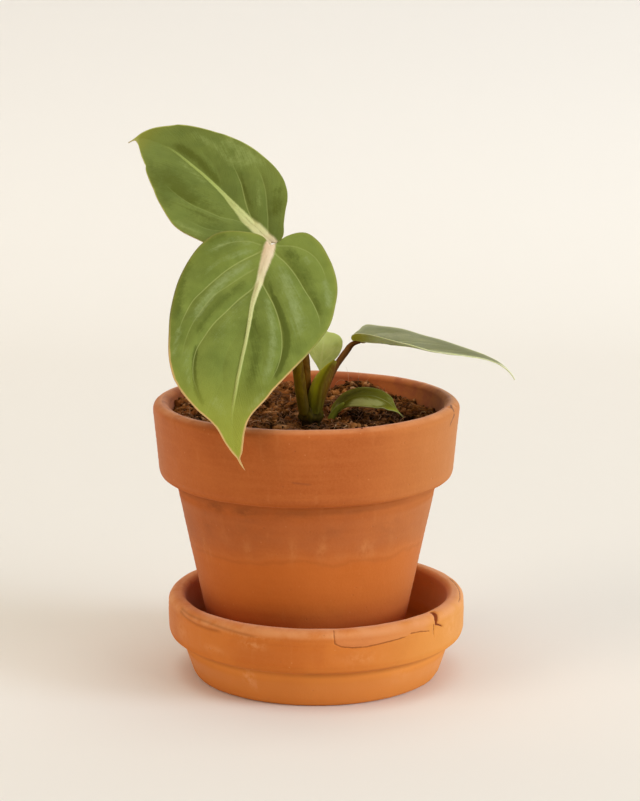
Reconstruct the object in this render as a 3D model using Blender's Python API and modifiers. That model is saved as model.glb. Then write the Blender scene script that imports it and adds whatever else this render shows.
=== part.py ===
"""A young philodendron in a terracotta pot on its saucer.

Five leaves and one sheath rise from a short crown in the soil. Lengths are in
millimetres and become metres where a mesh is made. The origin is the centre of the
saucer's underside, +Z is up, and -Y is the side that the front leaf faces.
"""

import math
from dataclasses import dataclass

import bmesh
import bpy
import numpy as np
from mathutils import Vector, noise

MM = 0.001
GAP = 0.3                      # clearance between pieces that touch

# Saucer
SAUCER_HEIGHT = 30.5
SAUCER_RADIUS = 54.5           # at the rim band
SAUCER_BAND_MIDDLE = 24.0      # height where the band bulges most
SAUCER_BAND_BULGE = 0.1
SAUCER_BAND_BOTTOM = 14.0
SAUCER_BODY_RADIUS = 49.7      # just under the band
SAUCER_FOOT_RADIUS = 43.8
SAUCER_FLOOR = 5.0             # thickness of its floor
SAUCER_MOUTH_RADIUS = 48.4
SAUCER_DISH_RADIUS = 44.2      # inside, just above the fillet at the floor
SAUCER_FILLET = 4.0

# Pot, whose axis stands a little off the saucer's
POT_OFFSET = -3.6
POT_BASE = SAUCER_FLOOR + GAP
POT_TOP = 102.3
POT_RADIUS = 55.8              # at the rim band
BAND_BOTTOM = 74.0
BAND_LOW_RADIUS = 53.8
POT_BODY_RADIUS = 47.6         # just under the band
POT_FOOT_RADIUS = 33.6
POT_MOUTH_RADIUS = 50.2
POT_STEP_RADIUS = 43.4         # inside, at the height of the band's lower edge
POT_FLOOR_TOP = 12.0
POT_FLOOR_RADIUS = 30.4
DRAIN_RADIUS = 6.0
LIP_OUTER_ROUND = 3.0          # both rims
LIP_INNER_ROUND = 2.2
BAND_ROUND = 4.0               # under both rim bands
BAND_ROUND_END = -80           # degrees: the round stops short of level
TURNS = 48                     # facets round a turned piece

# Soil
SOIL_TOP = 95.9                # mean level over the pot's axis
SOIL_LEFT_RISE = 0.04          # the soil stands higher on the left
SOIL_BACK_RISE = 0.045         # and at the back
SOIL_BUMP = 0.8
SOIL_RINGS = 10                # rings of its uneven top

# Crown
CROWN_X, CROWN_Y = -1.3, -8.6
CROWN_TOP = 98.4
CROWN_FLARE = 4.6              # radius of the top, where the stalks stand
CROWN_NECK = 3.0               # radius at the soil
CROWN_STUB = 2.4               # radius of the buried end, near its bottom
CROWN_POINT = 1.0
CROWN_BOTTOM = 76.0
CROWN_TURNS = 20

BLADE = 0.7                    # thickness of every blade
BLADE_ROWS = 26                # from stalk to tip
BLADE_COLUMNS = 4              # from midrib to margin
BLADE_CROWDING = 1.3           # above 1, rows crowd together near the stalk
BLADE_HALF_WIDTH = 28.0        # where the margin's ripple is at its full height
RIPPLE_PITCH = 15.0            # length of one ripple along the margin

TERRACOTTA = (0.50, 0.155, 0.050)
SAUCER_CLAY = (0.53, 0.175, 0.050)
PEAT = (0.030, 0.014, 0.007)
VELVET_GREEN = (0.105, 0.175, 0.035)
GREY_GREEN = (0.190, 0.240, 0.090)
PALE_GREEN = (0.320, 0.400, 0.150)
LOW_GREEN = (0.120, 0.190, 0.045)
OLIVE = (0.200, 0.170, 0.020)
CROWN_OLIVE = (0.080, 0.065, 0.015)
STALK_BROWN = (0.140, 0.050, 0.018)


@dataclass
class Leaf:
    """A blade laid along its midrib.

    midrib   points in space from the stalk to the tip
    side     direction of the right half, at the stalk and at the tip
    rise     degrees that each half (left, right) stands up: (at the stalk, further out)
    curl     how fast each half bends back down, per metre
    left, right  the margin as (along the midrib, out from it), from stalk to tip
    wave     height of the ripple along the margin
    """

    midrib: list
    side: tuple
    rise: tuple
    curl: tuple
    left: list
    right: list
    colour: tuple
    wave: float = 0.3


@dataclass
class Stalk:
    """A round stalk: its route, its radii at foot, middle and top, and its colour."""

    route: list
    radii: tuple
    colour: tuple


FRONT_LEAF = Leaf(
    midrib=[(-16.2, -22.0, 161.7), (-20.5, -31.0, 149.7), (-24.1, -43.5, 135.0),
            (-27.6, -54.5, 118.2), (-28.6, -60.0, 105.8), (-26.2, -62.5, 94.2),
            (-24.1, -63.0, 90.5)],
    side=((1, 0, 0), (1, 0, 0)),
    rise=((4, 4), (4, 4)),
    curl=(3, 5),
    left=[(0, 0), (-2.3, 2.5), (-2.6, 11), (0.2, 19), (6.6, 23.3), (15, 26.3), (26, 27.5),
          (39, 26.4), (52, 23), (59.5, 18.3), (64.5, 12.3), (69, 6), (76, 2.9), (80, 1.4),
          (82.5, 0.5), (85.6, 0)],
    right=[(0, 0), (-1.6, 1.8), (-5.2, 4.6), (-8.4, 10.8), (-6.4, 16.1), (-1.5, 21.1),
           (6.4, 26.5), (18.2, 28.3), (29.3, 27.3), (38.6, 22.7), (49.4, 16.7), (58.9, 11.1),
           (66.3, 6.2), (72, 3.6), (77.2, 2.1), (81.7, 0.6), (85.6, 0)],
    colour=VELVET_GREEN,
)
TOP_LEAF = Leaf(
    midrib=[(-16.0, -10.0, 161.0), (-26.1, -3.0, 169.7), (-33.9, 4.0, 177.1),
            (-45.3, 12.0, 186.3), (-55.4, 18.0, 192.5), (-65.8, 21.0, 194.7),
            (-68.7, 21.0, 193.3)],
    side=((-0.48, -0.62, -0.62), (-0.48, -0.62, -0.62)),
    rise=((14, 14), (12, 12)),
    curl=(5, 2),
    left=[(0, 0), (-1.8, 2), (-1.2, 4.4), (2.6, 8.2), (6.8, 12.8), (9.9, 16.9), (14.5, 19.3),
          (23.7, 21.4), (37.1, 19.8), (48.3, 15.9), (56.1, 10.8), (62.8, 5.9), (67.4, 1.9),
          (69.2, 0.5), (72.1, 0)],
    right=[(0, 0), (-2.6, 2.4), (-3.6, 8), (0, 14), (6.5, 17.3), (13.7, 20.2), (19.2, 23.1),
           (28.1, 23.9), (41.7, 20.1), (58.8, 12.1), (65, 7), (68.3, 2.6), (69.4, 0.5),
           (72.1, 0)],
    colour=VELVET_GREEN,
)
RIGHT_LEAF = Leaf(
    midrib=[(13.8, 4.0, 122.9), (22.5, 4.0, 122.0), (30.5, 4.0, 121.3), (44.0, 3.0, 119.1),
            (54.5, 2.0, 117.8), (62.1, 1.0, 116.5), (67.9, 0.0, 114.1), (70.8, 0.0, 111.5),
            (72.3, 0.0, 109.3)],
    side=((0, 1, 0), (0, 1, 0)),
    rise=((28, 10.5), (20, 7)),
    curl=(2, 2),
    left=[(0, 0), (-0.8, 1.2), (-1.3, 3.5), (-1, 6.5), (0.8, 9.8), (4.5, 14), (10, 16.8),
          (17, 17.8), (29.4, 15.5), (40.4, 10.5), (50, 5.5), (56, 2), (59.5, 0.6), (61.8, 0)],
    right=[(0, 0), (-0.6, 1.2), (-0.7, 3.2), (0.5, 5.6), (2.4, 8.5), (3.6, 11.3), (5.2, 14.2),
           (8.8, 16.6), (16.6, 18.4), (29.4, 16.6), (40.4, 10.8), (50, 6), (57, 3),
           (59.8, 0.7), (61.8, 0)],
    colour=GREY_GREEN,
)
BACK_LEAF = Leaf(
    midrib=[(1.2, 2.0, 112.2), (1.9, 4.0, 116.6), (2.5, 7.0, 120.9), (2.1, 10.0, 124.8),
            (1.0, 12.0, 127.4)],
    side=((-1, 0, 0), (-1, 0, 0)),
    rise=((6, 4), (6, 4)),
    curl=(6, 6),
    left=[(0, 0), (1.5, 1.4), (4.4, 4.5), (5.9, 5.6), (8, 6.5), (10.1, 7.1), (11.6, 7.1),
          (12.8, 6.5), (14, 4.8), (15, 2.3), (17.4, 0)],
    right=[(0, 0), (1.3, 0.9), (5, 3.9), (7.5, 5.6), (10, 6.6), (12.5, 6), (14, 4), (15, 2),
           (17.4, 0)],
    colour=PALE_GREEN,
    wave=0.1,
)
LOW_LEAF = Leaf(
    midrib=[(7.2, -2.0, 97.8), (10.5, -3.0, 101.5), (15.2, -3.5, 103.7), (21.0, -4.0, 103.8),
            (25.7, -5.0, 102.1), (28.5, -6.5, 99.9), (30.3, -8.0, 98.3), (31.2, -9.0, 97.6)],
    side=((-0.2, 0.93, 0.3), (0, 0.976, 0.216)),
    rise=((0, 0), (0, 0)),
    curl=(8, 8),
    left=[(0, 0), (-0.3, 1.6), (0.4, 3.2), (2, 3.6), (4.9, 3.9), (7.5, 5.2), (11.8, 7.2),
          (17.3, 8.1), (22, 7.8), (25, 5.6), (26.3, 2.5), (27.2, 0.6), (30, 0)],
    right=[(0, 0), (-1.2, 1.4), (-1.1, 3.8), (0.7, 5.3), (2.6, 5.6), (6.3, 7), (9.4, 7.2),
           (12.3, 7.7), (14.6, 7.8), (17.2, 8.1), (20.1, 7.2), (22.7, 3.7), (25.1, 1.2),
           (27, 0.5), (30, 0)],
    colour=LOW_GREEN,
    wave=0.1,
)
LEAVES = {
    "front_leaf": FRONT_LEAF,
    "top_leaf": TOP_LEAF,
    "right_leaf": RIGHT_LEAF,
    "back_leaf": BACK_LEAF,
    "low_leaf": LOW_LEAF,
}

STALKS = {
    "front_petiole": Stalk(
        route=[(-4.3, -10.8, CROWN_TOP + GAP), (-6.0, -11.3, 106.4), (-6.9, -12.0, 113.5),
               (-8.3, -14.0, 126.7), (-11.4, -17.5, 143.5), (-16.0, -20.9, 160.8)],
        radii=(1.3, 1.45, 1.1),
        colour=STALK_BROWN,
    ),
    "top_petiole": Stalk(
        route=[(-2.9, -7.0, CROWN_TOP + GAP), (-3.5, -7.0, 105.5), (-3.7, -7.0, 112.5),
               (-4.2, -7.0, 118.8), (-6.9, -7.2, 132.8), (-11.3, -7.8, 149.2),
               (-15.4, -8.7, 160.1)],
        radii=(1.3, 1.6, 1.1),
        colour=STALK_BROWN,
    ),
    "right_petiole": Stalk(
        route=[(0.8, -8.3, CROWN_TOP + GAP), (3.2, -6.0, 106.1), (5.7, -3.0, 112.1),
               (7.9, -1.0, 115.8), (10.8, 1.5, 119.3), (13.1, 3.7, 121.7)],
        radii=(0.85, 0.9, 1.15),
        colour=STALK_BROWN,
    ),
    "back_petiole": Stalk(
        route=[(-0.6, -5.6, CROWN_TOP + GAP), (0.2, -2.6, 104.5), (0.9, 0.4, 110.0),
               (1.1, 1.5, 111.4)],
        radii=(0.6, 0.6, 0.6),
        colour=OLIVE,
    ),
    "low_petiole": Stalk(
        route=[(3.2, -4.2, 86.0), (4.0, -3.8, 91.0), (5.0, -3.2, 94.6), (6.5, -2.4, 97.1)],
        radii=(1.0, 1.5, 1.7),
        colour=OLIVE,
    ),
}
STALK_SIDES_RESOLUTION = 2

SHEATH_ROUTE = [(-0.9, -10.0, 99.0), (1.0, -8.8, 107.9), (4.3, -6.4, 113.8), (6.8, -4.4, 117.1)]
SHEATH_HALF_WIDTHS = [(0.0, 1.9), (0.35, 2.8), (0.6, 2.8), (0.85, 1.7), (1.0, 0.55)]
SHEATH_DEPTH = 0.8             # bulge towards the front, as a share of the half width
SHEATH_WALL = 0.7


def clear_scene():
    for obj in list(bpy.data.objects):
        bpy.data.objects.remove(obj, do_unlink=True)


def new_collection(name):
    collection = bpy.data.collections.new(name)
    bpy.context.scene.collection.children.link(collection)
    return collection


def material(name, colour, roughness):
    made = bpy.data.materials.new(name)
    made.use_nodes = True
    shader = made.node_tree.nodes["Principled BSDF"]
    shader.inputs["Base Color"].default_value = (*colour, 1.0)
    shader.inputs["Roughness"].default_value = roughness
    shader.inputs["Metallic"].default_value = 0.0
    made.diffuse_color = (*colour, 1.0)
    return made


def add(name, data, collection, look=None):
    obj = bpy.data.objects.new(name, data)
    collection.objects.link(obj)
    if look is not None:
        data.materials.append(look)
    return obj


def arc(centre_r, centre_z, radius, start, end, steps=4):
    """Points of a circular arc in the (r, z) plane, angles in degrees."""
    angles = np.radians(np.linspace(start, end, steps + 1))
    return [(centre_r + radius * math.cos(a), centre_z + radius * math.sin(a)) for a in angles]


def profile_mesh(name, profile, closed):
    """The profile as edges in the XZ plane, in metres."""
    points = [(r * MM, 0.0, z * MM) for r, z in profile]
    edges = [(i, i + 1) for i in range(len(points) - 1)]
    if closed:
        edges.append((len(points) - 1, 0))
    mesh = bpy.data.meshes.new(name)
    mesh.from_pydata(points, edges, [])
    return mesh


def turned(name, profile, collection, look, closed=False, steps=TURNS, centre=(0.0, 0.0)):
    """A profile turned once round its own Z axis."""
    obj = add(name, profile_mesh(name, profile, closed), collection, look)
    obj.location = (centre[0] * MM, centre[1] * MM, 0.0)
    screw = obj.modifiers.new("turn", "SCREW")
    screw.axis = "Z"
    screw.steps = steps
    screw.render_steps = steps
    screw.use_merge_vertices = True
    screw.merge_threshold = 1e-6
    screw.use_smooth_shade = True
    return obj


def evaluated_mesh(obj):
    """The object's mesh with its modifiers applied, in its own space."""
    bpy.context.view_layer.update()
    graph = bpy.context.evaluated_depsgraph_get()
    return bpy.data.meshes.new_from_object(obj.evaluated_get(graph))


def realised(obj):
    """Replaces an object by one that holds its evaluated mesh, caps welded."""
    mesh = evaluated_mesh(obj)
    edit = bmesh.new()
    edit.from_mesh(mesh)
    bmesh.ops.remove_doubles(edit, verts=edit.verts, dist=1e-7)
    edit.to_mesh(mesh)
    edit.free()
    name, place, collection = obj.name, obj.matrix_world.copy(), obj.users_collection[0]
    bpy.data.objects.remove(obj, do_unlink=True)
    made = add(name, mesh, collection)
    made.matrix_world = place
    return made


def smooth_path(points, at):
    """Positions at distances `at` along a smooth curve through the points."""
    points = np.asarray(points, float)
    steps = np.linalg.norm(np.diff(points, axis=0), axis=1)
    knots = np.concatenate([[0.0], np.cumsum(steps)])
    slopes = np.gradient(points, knots, axis=0)
    at = np.asarray(at, float)
    i = np.clip(np.searchsorted(knots, at, side="right") - 1, 0, len(knots) - 2)
    span = (knots[i + 1] - knots[i])[..., None]
    s = (at - knots[i])[..., None] / span
    start = (1 + 2 * s) * (1 - s) ** 2 * points[i] + s * (1 - s) ** 2 * span * slopes[i]
    end = s * s * (3 - 2 * s) * points[i + 1] + s * s * (s - 1) * span * slopes[i + 1]
    return start + end


def path_length(points):
    return float(np.linalg.norm(np.diff(np.asarray(points, float), axis=0), axis=1).sum())


def unit(vectors):
    return vectors / np.linalg.norm(vectors, axis=-1, keepdims=True)


def path_frame(points, side, along):
    """Centre, tangent, side and normal vectors at distances along the path."""
    reach = path_length(points)
    inside = np.clip(along, 0.0, reach)
    before = smooth_path(points, np.clip(inside - 0.4, 0.0, reach))
    after = smooth_path(points, np.clip(inside + 0.4, 0.0, reach))
    tangent = unit(after - before)
    centre = smooth_path(points, inside) + (along - inside)[..., None] * tangent
    share = (inside / reach)[..., None]
    across = np.array(side[0], float) * (1 - share) + np.array(side[1], float) * share
    across = unit(across - (across * tangent).sum(-1, keepdims=True) * tangent)
    return centre, tangent, across, np.cross(tangent, across)


def blade_point(leaf, along, out, sign):
    """Points of the blade `along` its midrib and `out` from it; sign is -1 left, +1 right."""
    centre, _, across, normal = path_frame(leaf.midrib, leaf.side, along)
    reach = path_length(leaf.midrib)
    near = (1 - np.clip(along / reach, 0.0, 1.0)) ** 4
    at_stalk, further = leaf.rise[0 if sign < 0 else 1]
    slope = np.tan(np.radians(at_stalk * near + further * (1 - near)))
    bend = leaf.curl[0 if sign < 0 else 1] * MM
    share = out / BLADE_HALF_WIDTH
    ripple = leaf.wave * share ** 2 * np.sin(2 * math.pi * along / RIPPLE_PITCH + sign)
    height = slope * out - bend * out ** 2 + ripple
    return centre + sign * out[..., None] * across + height[..., None] * normal


def half_grid(leaf, sign):
    """A grid over one half: rows run from stalk to tip, columns from midrib to margin."""
    margin_points = leaf.left if sign < 0 else leaf.right
    rows = np.linspace(0.0, 1.0, BLADE_ROWS + 1)
    margin = smooth_path(margin_points, rows * path_length(margin_points))
    tip = margin_points[-1][0]
    rib = rows ** BLADE_CROWDING * tip
    share = np.linspace(0.0, 1.0, BLADE_COLUMNS + 1)[None, :]
    along = rib[:, None] * (1 - share) + margin[:, 0:1] * share
    out = np.maximum(margin[:, 1:2], 0.0) * share
    return blade_point(leaf, along, out, sign)


def grid_faces(rows, columns, start, flip):
    """Triangles over a grid of (rows + 1) by (columns + 1) vertices."""
    faces = []
    for r in range(rows):
        for c in range(columns):
            a = start + r * (columns + 1) + c
            b = a + 1
            d = a + columns + 1
            e = d + 1
            for face in ((a, d, b), (b, d, e)):
                faces.append(face[::-1] if flip else face)
    return faces


def sheet(name, points, faces, collection, look, thickness):
    """An open surface given a thickness, half of it on each side."""
    mesh = bpy.data.meshes.new(name)
    mesh.from_pydata([tuple(p * MM) for p in points], [], faces)
    edit = bmesh.new()
    edit.from_mesh(mesh)
    bmesh.ops.remove_doubles(edit, verts=edit.verts, dist=2e-5)
    bmesh.ops.dissolve_degenerate(edit, edges=edit.edges, dist=1e-6)
    bmesh.ops.triangulate(edit, faces=edit.faces)
    edit.to_mesh(mesh)
    edit.free()
    mesh.shade_smooth()
    obj = add(name, mesh, collection, look)
    solid = obj.modifiers.new("thickness", "SOLIDIFY")
    solid.thickness = thickness * MM
    solid.offset = 0.0
    return obj


def make_leaf(name, leaf, collection):
    left = half_grid(leaf, -1)
    right = half_grid(leaf, 1)
    count = left.shape[0] * left.shape[1]
    points = np.concatenate([left.reshape(-1, 3), right.reshape(-1, 3)])
    faces = grid_faces(BLADE_ROWS, BLADE_COLUMNS, 0, False)
    faces += grid_faces(BLADE_ROWS, BLADE_COLUMNS, count, True)
    look = material(name, leaf.colour, 0.75)
    return sheet(name, points, faces, collection, look, BLADE)


def make_stalk(name, stalk, collection, spacing=2.2, extra=0.0, look=None):
    """A tapered tube along the stalk's route, `extra` thicker all round."""
    reach = path_length(stalk.route)
    count = max(4, round(reach / spacing))
    shares = np.linspace(0.0, 1.0, count + 1)
    radii = np.interp(shares, (0.0, 0.3, 1.0), stalk.radii) + extra
    widest = float(radii.max())
    curve = bpy.data.curves.new(name, "CURVE")
    curve.dimensions = "3D"
    curve.bevel_depth = widest * MM
    curve.bevel_resolution = STALK_SIDES_RESOLUTION
    curve.use_fill_caps = True
    spline = curve.splines.new("POLY")
    spline.points.add(count)
    centres = smooth_path(stalk.route, shares * reach)
    for point, centre, radius in zip(spline.points, centres, radii):
        point.co = (*(centre * MM), 1.0)
        point.radius = radius / widest
    spline.use_smooth = True
    return add(name, curve, collection, look)


def make_sheath(collection):
    """A pointed gutter, round side to the front, that holds the right petiole."""
    rows, columns = 14, 8
    reach = path_length(SHEATH_ROUTE)
    shares = np.linspace(0.0, 1.0, rows + 1)
    side = ((1.0, 0.0, 0.25), (0.9, 0.0, 0.4))
    centre, _, across, normal = path_frame(SHEATH_ROUTE, side, shares * reach)
    forward = np.where((normal[:, 1:2] < 0), normal, -normal)
    stations, widths = zip(*SHEATH_HALF_WIDTHS)
    half = np.interp(shares, stations, widths)[:, None, None]
    angle = np.radians(np.linspace(0.0, 180.0, columns + 1))[None, :, None]
    points = (centre[:, None] + half * np.cos(angle) * across[:, None]
              + SHEATH_DEPTH * half * np.sin(angle) * forward[:, None])
    faces = grid_faces(rows, columns, 0, False)
    look = material("sheath", OLIVE, 0.6)
    return sheet("sheath", points.reshape(-1, 3), faces, collection, look, SHEATH_WALL)


def lip(mouth, outside, top):
    """A rim's rounded edge, from its inner wall over the top to its outside."""
    inner = arc(mouth + LIP_INNER_ROUND, top - LIP_INNER_ROUND, LIP_INNER_ROUND, 180, 90, 3)
    outer = arc(outside - LIP_OUTER_ROUND, top - LIP_OUTER_ROUND, LIP_OUTER_ROUND, 90, 0, 3)
    return inner + outer


def make_saucer(collection):
    profile = [(0.0, SAUCER_FLOOR)]
    profile += arc(SAUCER_DISH_RADIUS - SAUCER_FILLET, SAUCER_FLOOR + SAUCER_FILLET,
                   SAUCER_FILLET, -90, 0)
    profile += lip(SAUCER_MOUTH_RADIUS, SAUCER_RADIUS, SAUCER_HEIGHT)
    profile += [(SAUCER_RADIUS + SAUCER_BAND_BULGE, SAUCER_BAND_MIDDLE)]
    profile += arc(SAUCER_RADIUS - BAND_ROUND, SAUCER_BAND_BOTTOM + BAND_ROUND, BAND_ROUND,
                   0, BAND_ROUND_END)
    profile += [(SAUCER_BODY_RADIUS, SAUCER_BAND_BOTTOM - 0.6)]
    profile += [(SAUCER_FOOT_RADIUS + 2.0, 1.8), (SAUCER_FOOT_RADIUS + 1.2, 0.5)]
    profile += [(SAUCER_FOOT_RADIUS, 0.0), (0.0, 0.0)]
    return turned("saucer", profile, collection, material("saucer", SAUCER_CLAY, 0.85))


def make_pot(collection):
    profile = [(DRAIN_RADIUS, POT_FLOOR_TOP)]
    profile += arc(POT_FLOOR_RADIUS - 2.0, POT_FLOOR_TOP + 2.0, 2.0, -90, 0, 2)
    profile += [(POT_STEP_RADIUS, BAND_BOTTOM)]
    profile += lip(POT_MOUTH_RADIUS, POT_RADIUS, POT_TOP)
    profile += arc(BAND_LOW_RADIUS - BAND_ROUND, BAND_BOTTOM + BAND_ROUND, BAND_ROUND,
                   0, BAND_ROUND_END)
    profile += [(POT_BODY_RADIUS + 0.2, BAND_BOTTOM - 0.7), (POT_BODY_RADIUS, BAND_BOTTOM - 1.6)]
    profile += [(POT_FOOT_RADIUS + 0.3, POT_BASE + 1.3), (POT_FOOT_RADIUS - 0.9, POT_BASE)]
    profile += [(DRAIN_RADIUS, POT_BASE)]
    look = material("pot", TERRACOTTA, 0.85)
    return turned("pot", profile, collection, look, closed=True, centre=(POT_OFFSET, 0.0))


def pot_inner_radius(height):
    """Radius of the pot's inner wall at a height."""
    heights = (POT_FLOOR_TOP + 2.0, BAND_BOTTOM, POT_TOP - LIP_INNER_ROUND)
    return float(np.interp(height, heights, (POT_FLOOR_RADIUS, POT_STEP_RADIUS, POT_MOUTH_RADIUS)))


def soil_height(x, y):
    """Level of the soil at a point measured from the pot's axis."""
    coarse = noise.noise(Vector((x / 11.0, y / 11.0, 3.7)))
    fine = noise.noise(Vector((x / 4.5, y / 4.5, 8.1)))
    bump = SOIL_BUMP * (1.3 * coarse + 0.7 * fine)
    return SOIL_TOP - SOIL_LEFT_RISE * x + SOIL_BACK_RISE * y + bump


def make_soil(collection):
    """The mix: a plug that follows the pot's wall, its top raised by soil_height."""
    brim = SOIL_TOP - 2.0
    edge = pot_inner_radius(brim) - GAP
    floor = POT_FLOOR_TOP + GAP
    profile = [(edge * i / SOIL_RINGS, SOIL_TOP) for i in range(SOIL_RINGS + 1)]
    profile += [(edge, brim - 2.0 * GAP), (POT_STEP_RADIUS - GAP, BAND_BOTTOM)]
    profile += [(POT_FLOOR_RADIUS - GAP, floor + 2.0), (POT_FLOOR_RADIUS - 2.3, floor)]
    profile += [(0.0, floor)]
    soil = turned("soil", profile, collection, None, centre=(POT_OFFSET, 0.0))
    soil = realised(soil)
    for vertex in soil.data.vertices:
        if vertex.co.z > (SOIL_TOP - 0.5) * MM:
            vertex.co.z = soil_height(vertex.co.x / MM, vertex.co.y / MM) * MM
    soil.data.materials.append(material("soil", PEAT, 0.95))
    return soil


def crown_root(extra):
    """Profile of the crown's buried end, `extra` larger all round."""
    return [(CROWN_NECK + extra, SOIL_TOP - 5.0), (CROWN_STUB + extra, CROWN_BOTTOM + 4.0 - extra),
            (CROWN_POINT + extra, CROWN_BOTTOM - extra), (0.0, CROWN_BOTTOM - extra)]


def make_crown(collection):
    """The short stem: a stub in the soil that flares to carry the stalks."""
    profile = [(0.0, CROWN_TOP), (CROWN_FLARE - 0.3, CROWN_TOP), (CROWN_FLARE, CROWN_TOP - 0.5)]
    profile += [(CROWN_NECK, SOIL_TOP + 0.4)] + crown_root(0.0)
    return turned("crown", profile, collection, material("crown", CROWN_OLIVE, 0.8),
                  steps=CROWN_TURNS, centre=(CROWN_X, CROWN_Y))


def crown_hole(cutters):
    """Cutter for the crown's hole, open at the top of the soil."""
    profile = [(0.0, POT_TOP), (CROWN_NECK + GAP, POT_TOP)] + crown_root(GAP)
    return turned("crown_hole", profile, cutters, None, steps=CROWN_TURNS,
                  centre=(CROWN_X, CROWN_Y))


def stalk_hole(cutters):
    """Cutter for the low leaf's stalk: the stalk itself, a gap thicker, longer at both ends."""
    stalk = STALKS["low_petiole"]
    route = [np.array(p, float) for p in stalk.route]
    route[0] = route[0] + (route[0] - route[1]) * 0.1
    route[-1] = route[-1] + (route[-1] - route[-2]) * 1.5
    longer = Stalk([tuple(p) for p in route], stalk.radii, stalk.colour)
    return realised(make_stalk("stalk_hole", longer, cutters, extra=2 * GAP))


def cut(obj, cutter):
    cutter.hide_render = True
    cutter.display_type = "WIRE"
    boolean = obj.modifiers.new("hole_" + cutter.name, "BOOLEAN")
    boolean.operation = "DIFFERENCE"
    boolean.object = cutter


def build():
    clear_scene()
    parts = new_collection("potted_philodendron")
    cutters = new_collection("cutters")
    make_saucer(parts)
    make_pot(parts)
    soil = make_soil(parts)
    cut(soil, crown_hole(cutters))
    cut(soil, stalk_hole(cutters))
    make_crown(parts)
    for name, leaf in LEAVES.items():
        make_leaf(name, leaf, parts)
    for name, stalk in STALKS.items():
        make_stalk(name, stalk, parts, look=material(name, stalk.colour, 0.55))
    make_sheath(parts)


build()
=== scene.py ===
"""A young philodendron in a terracotta pot on its saucer, with the looks of the real one.

Lengths are in millimetres and become metres where a mesh is made. In a finish, heights and the
sizes of patterns are in metres, while distances marked on a mesh stay in millimetres. +Z is up,
the origin is the centre of the saucer's underside, and the large front leaf faces -Y.
"""

import itertools
import math

import bpy
import numpy as np
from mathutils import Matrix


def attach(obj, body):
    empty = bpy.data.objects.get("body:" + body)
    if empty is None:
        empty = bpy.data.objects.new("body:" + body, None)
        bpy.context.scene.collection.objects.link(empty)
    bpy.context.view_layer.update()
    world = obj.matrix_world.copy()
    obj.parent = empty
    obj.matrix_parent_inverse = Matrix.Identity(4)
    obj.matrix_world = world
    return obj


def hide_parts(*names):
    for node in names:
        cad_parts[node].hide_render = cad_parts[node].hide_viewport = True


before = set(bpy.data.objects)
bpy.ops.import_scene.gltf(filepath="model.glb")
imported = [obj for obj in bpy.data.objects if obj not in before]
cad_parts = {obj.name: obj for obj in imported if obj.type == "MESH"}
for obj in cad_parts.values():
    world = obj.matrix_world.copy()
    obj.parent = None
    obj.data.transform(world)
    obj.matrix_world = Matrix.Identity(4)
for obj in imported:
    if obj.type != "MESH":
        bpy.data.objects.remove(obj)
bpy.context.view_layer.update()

# Camera
# The photograph is taken from the front and a little above, through a long lens. Its place and
# tilt follow from the ellipses of the two rims.
CAMERA_PLACE = (0.00138, -0.8774, 0.28734)
CAMERA_TILT = 11.95            # degrees below level
SENSOR_WIDTH = 36.0
LENS = 110.6

camera = bpy.data.objects.new("camera", bpy.data.cameras.new("camera"))
bpy.context.scene.collection.objects.link(camera)
camera.location = CAMERA_PLACE
camera.rotation_euler = (math.radians(90.0 - CAMERA_TILT), 0.0, 0.0)
camera.data.sensor_width = SENSOR_WIDTH
camera.data.lens = LENS
bpy.context.scene.camera = camera
bpy.context.scene.view_settings.view_transform = "Standard"


# Studio light
# Three soft boxes on the right, cool but for the lowest, throw the faint shadow to the left. A
# wide box overhead and a warm one on the left fill it in.
LIGHT_REACH = 4.0              # metres from the pot to every soft box
LIGHT_AIM = 0.08               # height in metres of the point that they face
AMBIENT_COLOUR = (1.0, 0.95, 0.84, 1.0)
AMBIENT_STRENGTH = 0.27

world = bpy.data.worlds.new("studio")
world.use_nodes = True
ambient = world.node_tree.nodes["Background"].inputs
ambient["Color"].default_value = AMBIENT_COLOUR
ambient["Strength"].default_value = AMBIENT_STRENGTH
bpy.context.scene.world = world


def soft_box(name, turn, lift, size, watts, colour):
    """A square area light, `turn` degrees to the right of the camera's side and `lift` degrees
    above the ground, facing the pot. `size` is its side in metres."""
    light = bpy.data.lights.new(name, "AREA")
    light.shape = "SQUARE"
    light.size = size
    light.energy = watts
    light.color = colour
    lamp = bpy.data.objects.new(name, light)
    bpy.context.scene.collection.objects.link(lamp)
    turn, lift = math.radians(turn), math.radians(lift)
    level = LIGHT_REACH * math.cos(lift)
    lamp.location = (level * math.sin(turn), -level * math.cos(turn),
                     LIGHT_AIM + LIGHT_REACH * math.sin(lift))
    lamp.rotation_euler = (math.pi / 2 - lift, 0.0, turn)


soft_box("key", 72.0, 15.0, 1.4, 66.0, (1.0, 1.24, 1.50))
soft_box("key_high", 48.0, 28.0, 1.8, 17.0, (1.0, 1.10, 1.22))
soft_box("key_low", 60.0, 5.0, 1.6, 27.5, (1.0, 0.98, 0.96))
soft_box("overhead", 0.0, 84.0, 3.5, 72.0, (1.0, 0.95, 0.86))
soft_box("left", -60.0, 22.0, 2.0, 46.0, (1.0, 0.91, 0.79))


# Ground and wall
# One sheet of cream paper that lies flat under the pot and curves up behind it. It is a little
# darker where it rises.
MM = 0.001
FLOOR_DEPTH = 600.0            # how far the paper lies flat behind the pot
SWEEP = 500.0                  # radius of its curve
PAPER_REACH = 1600.0           # to each side, to the front and up
PAPER_COLUMNS = 9


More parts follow.
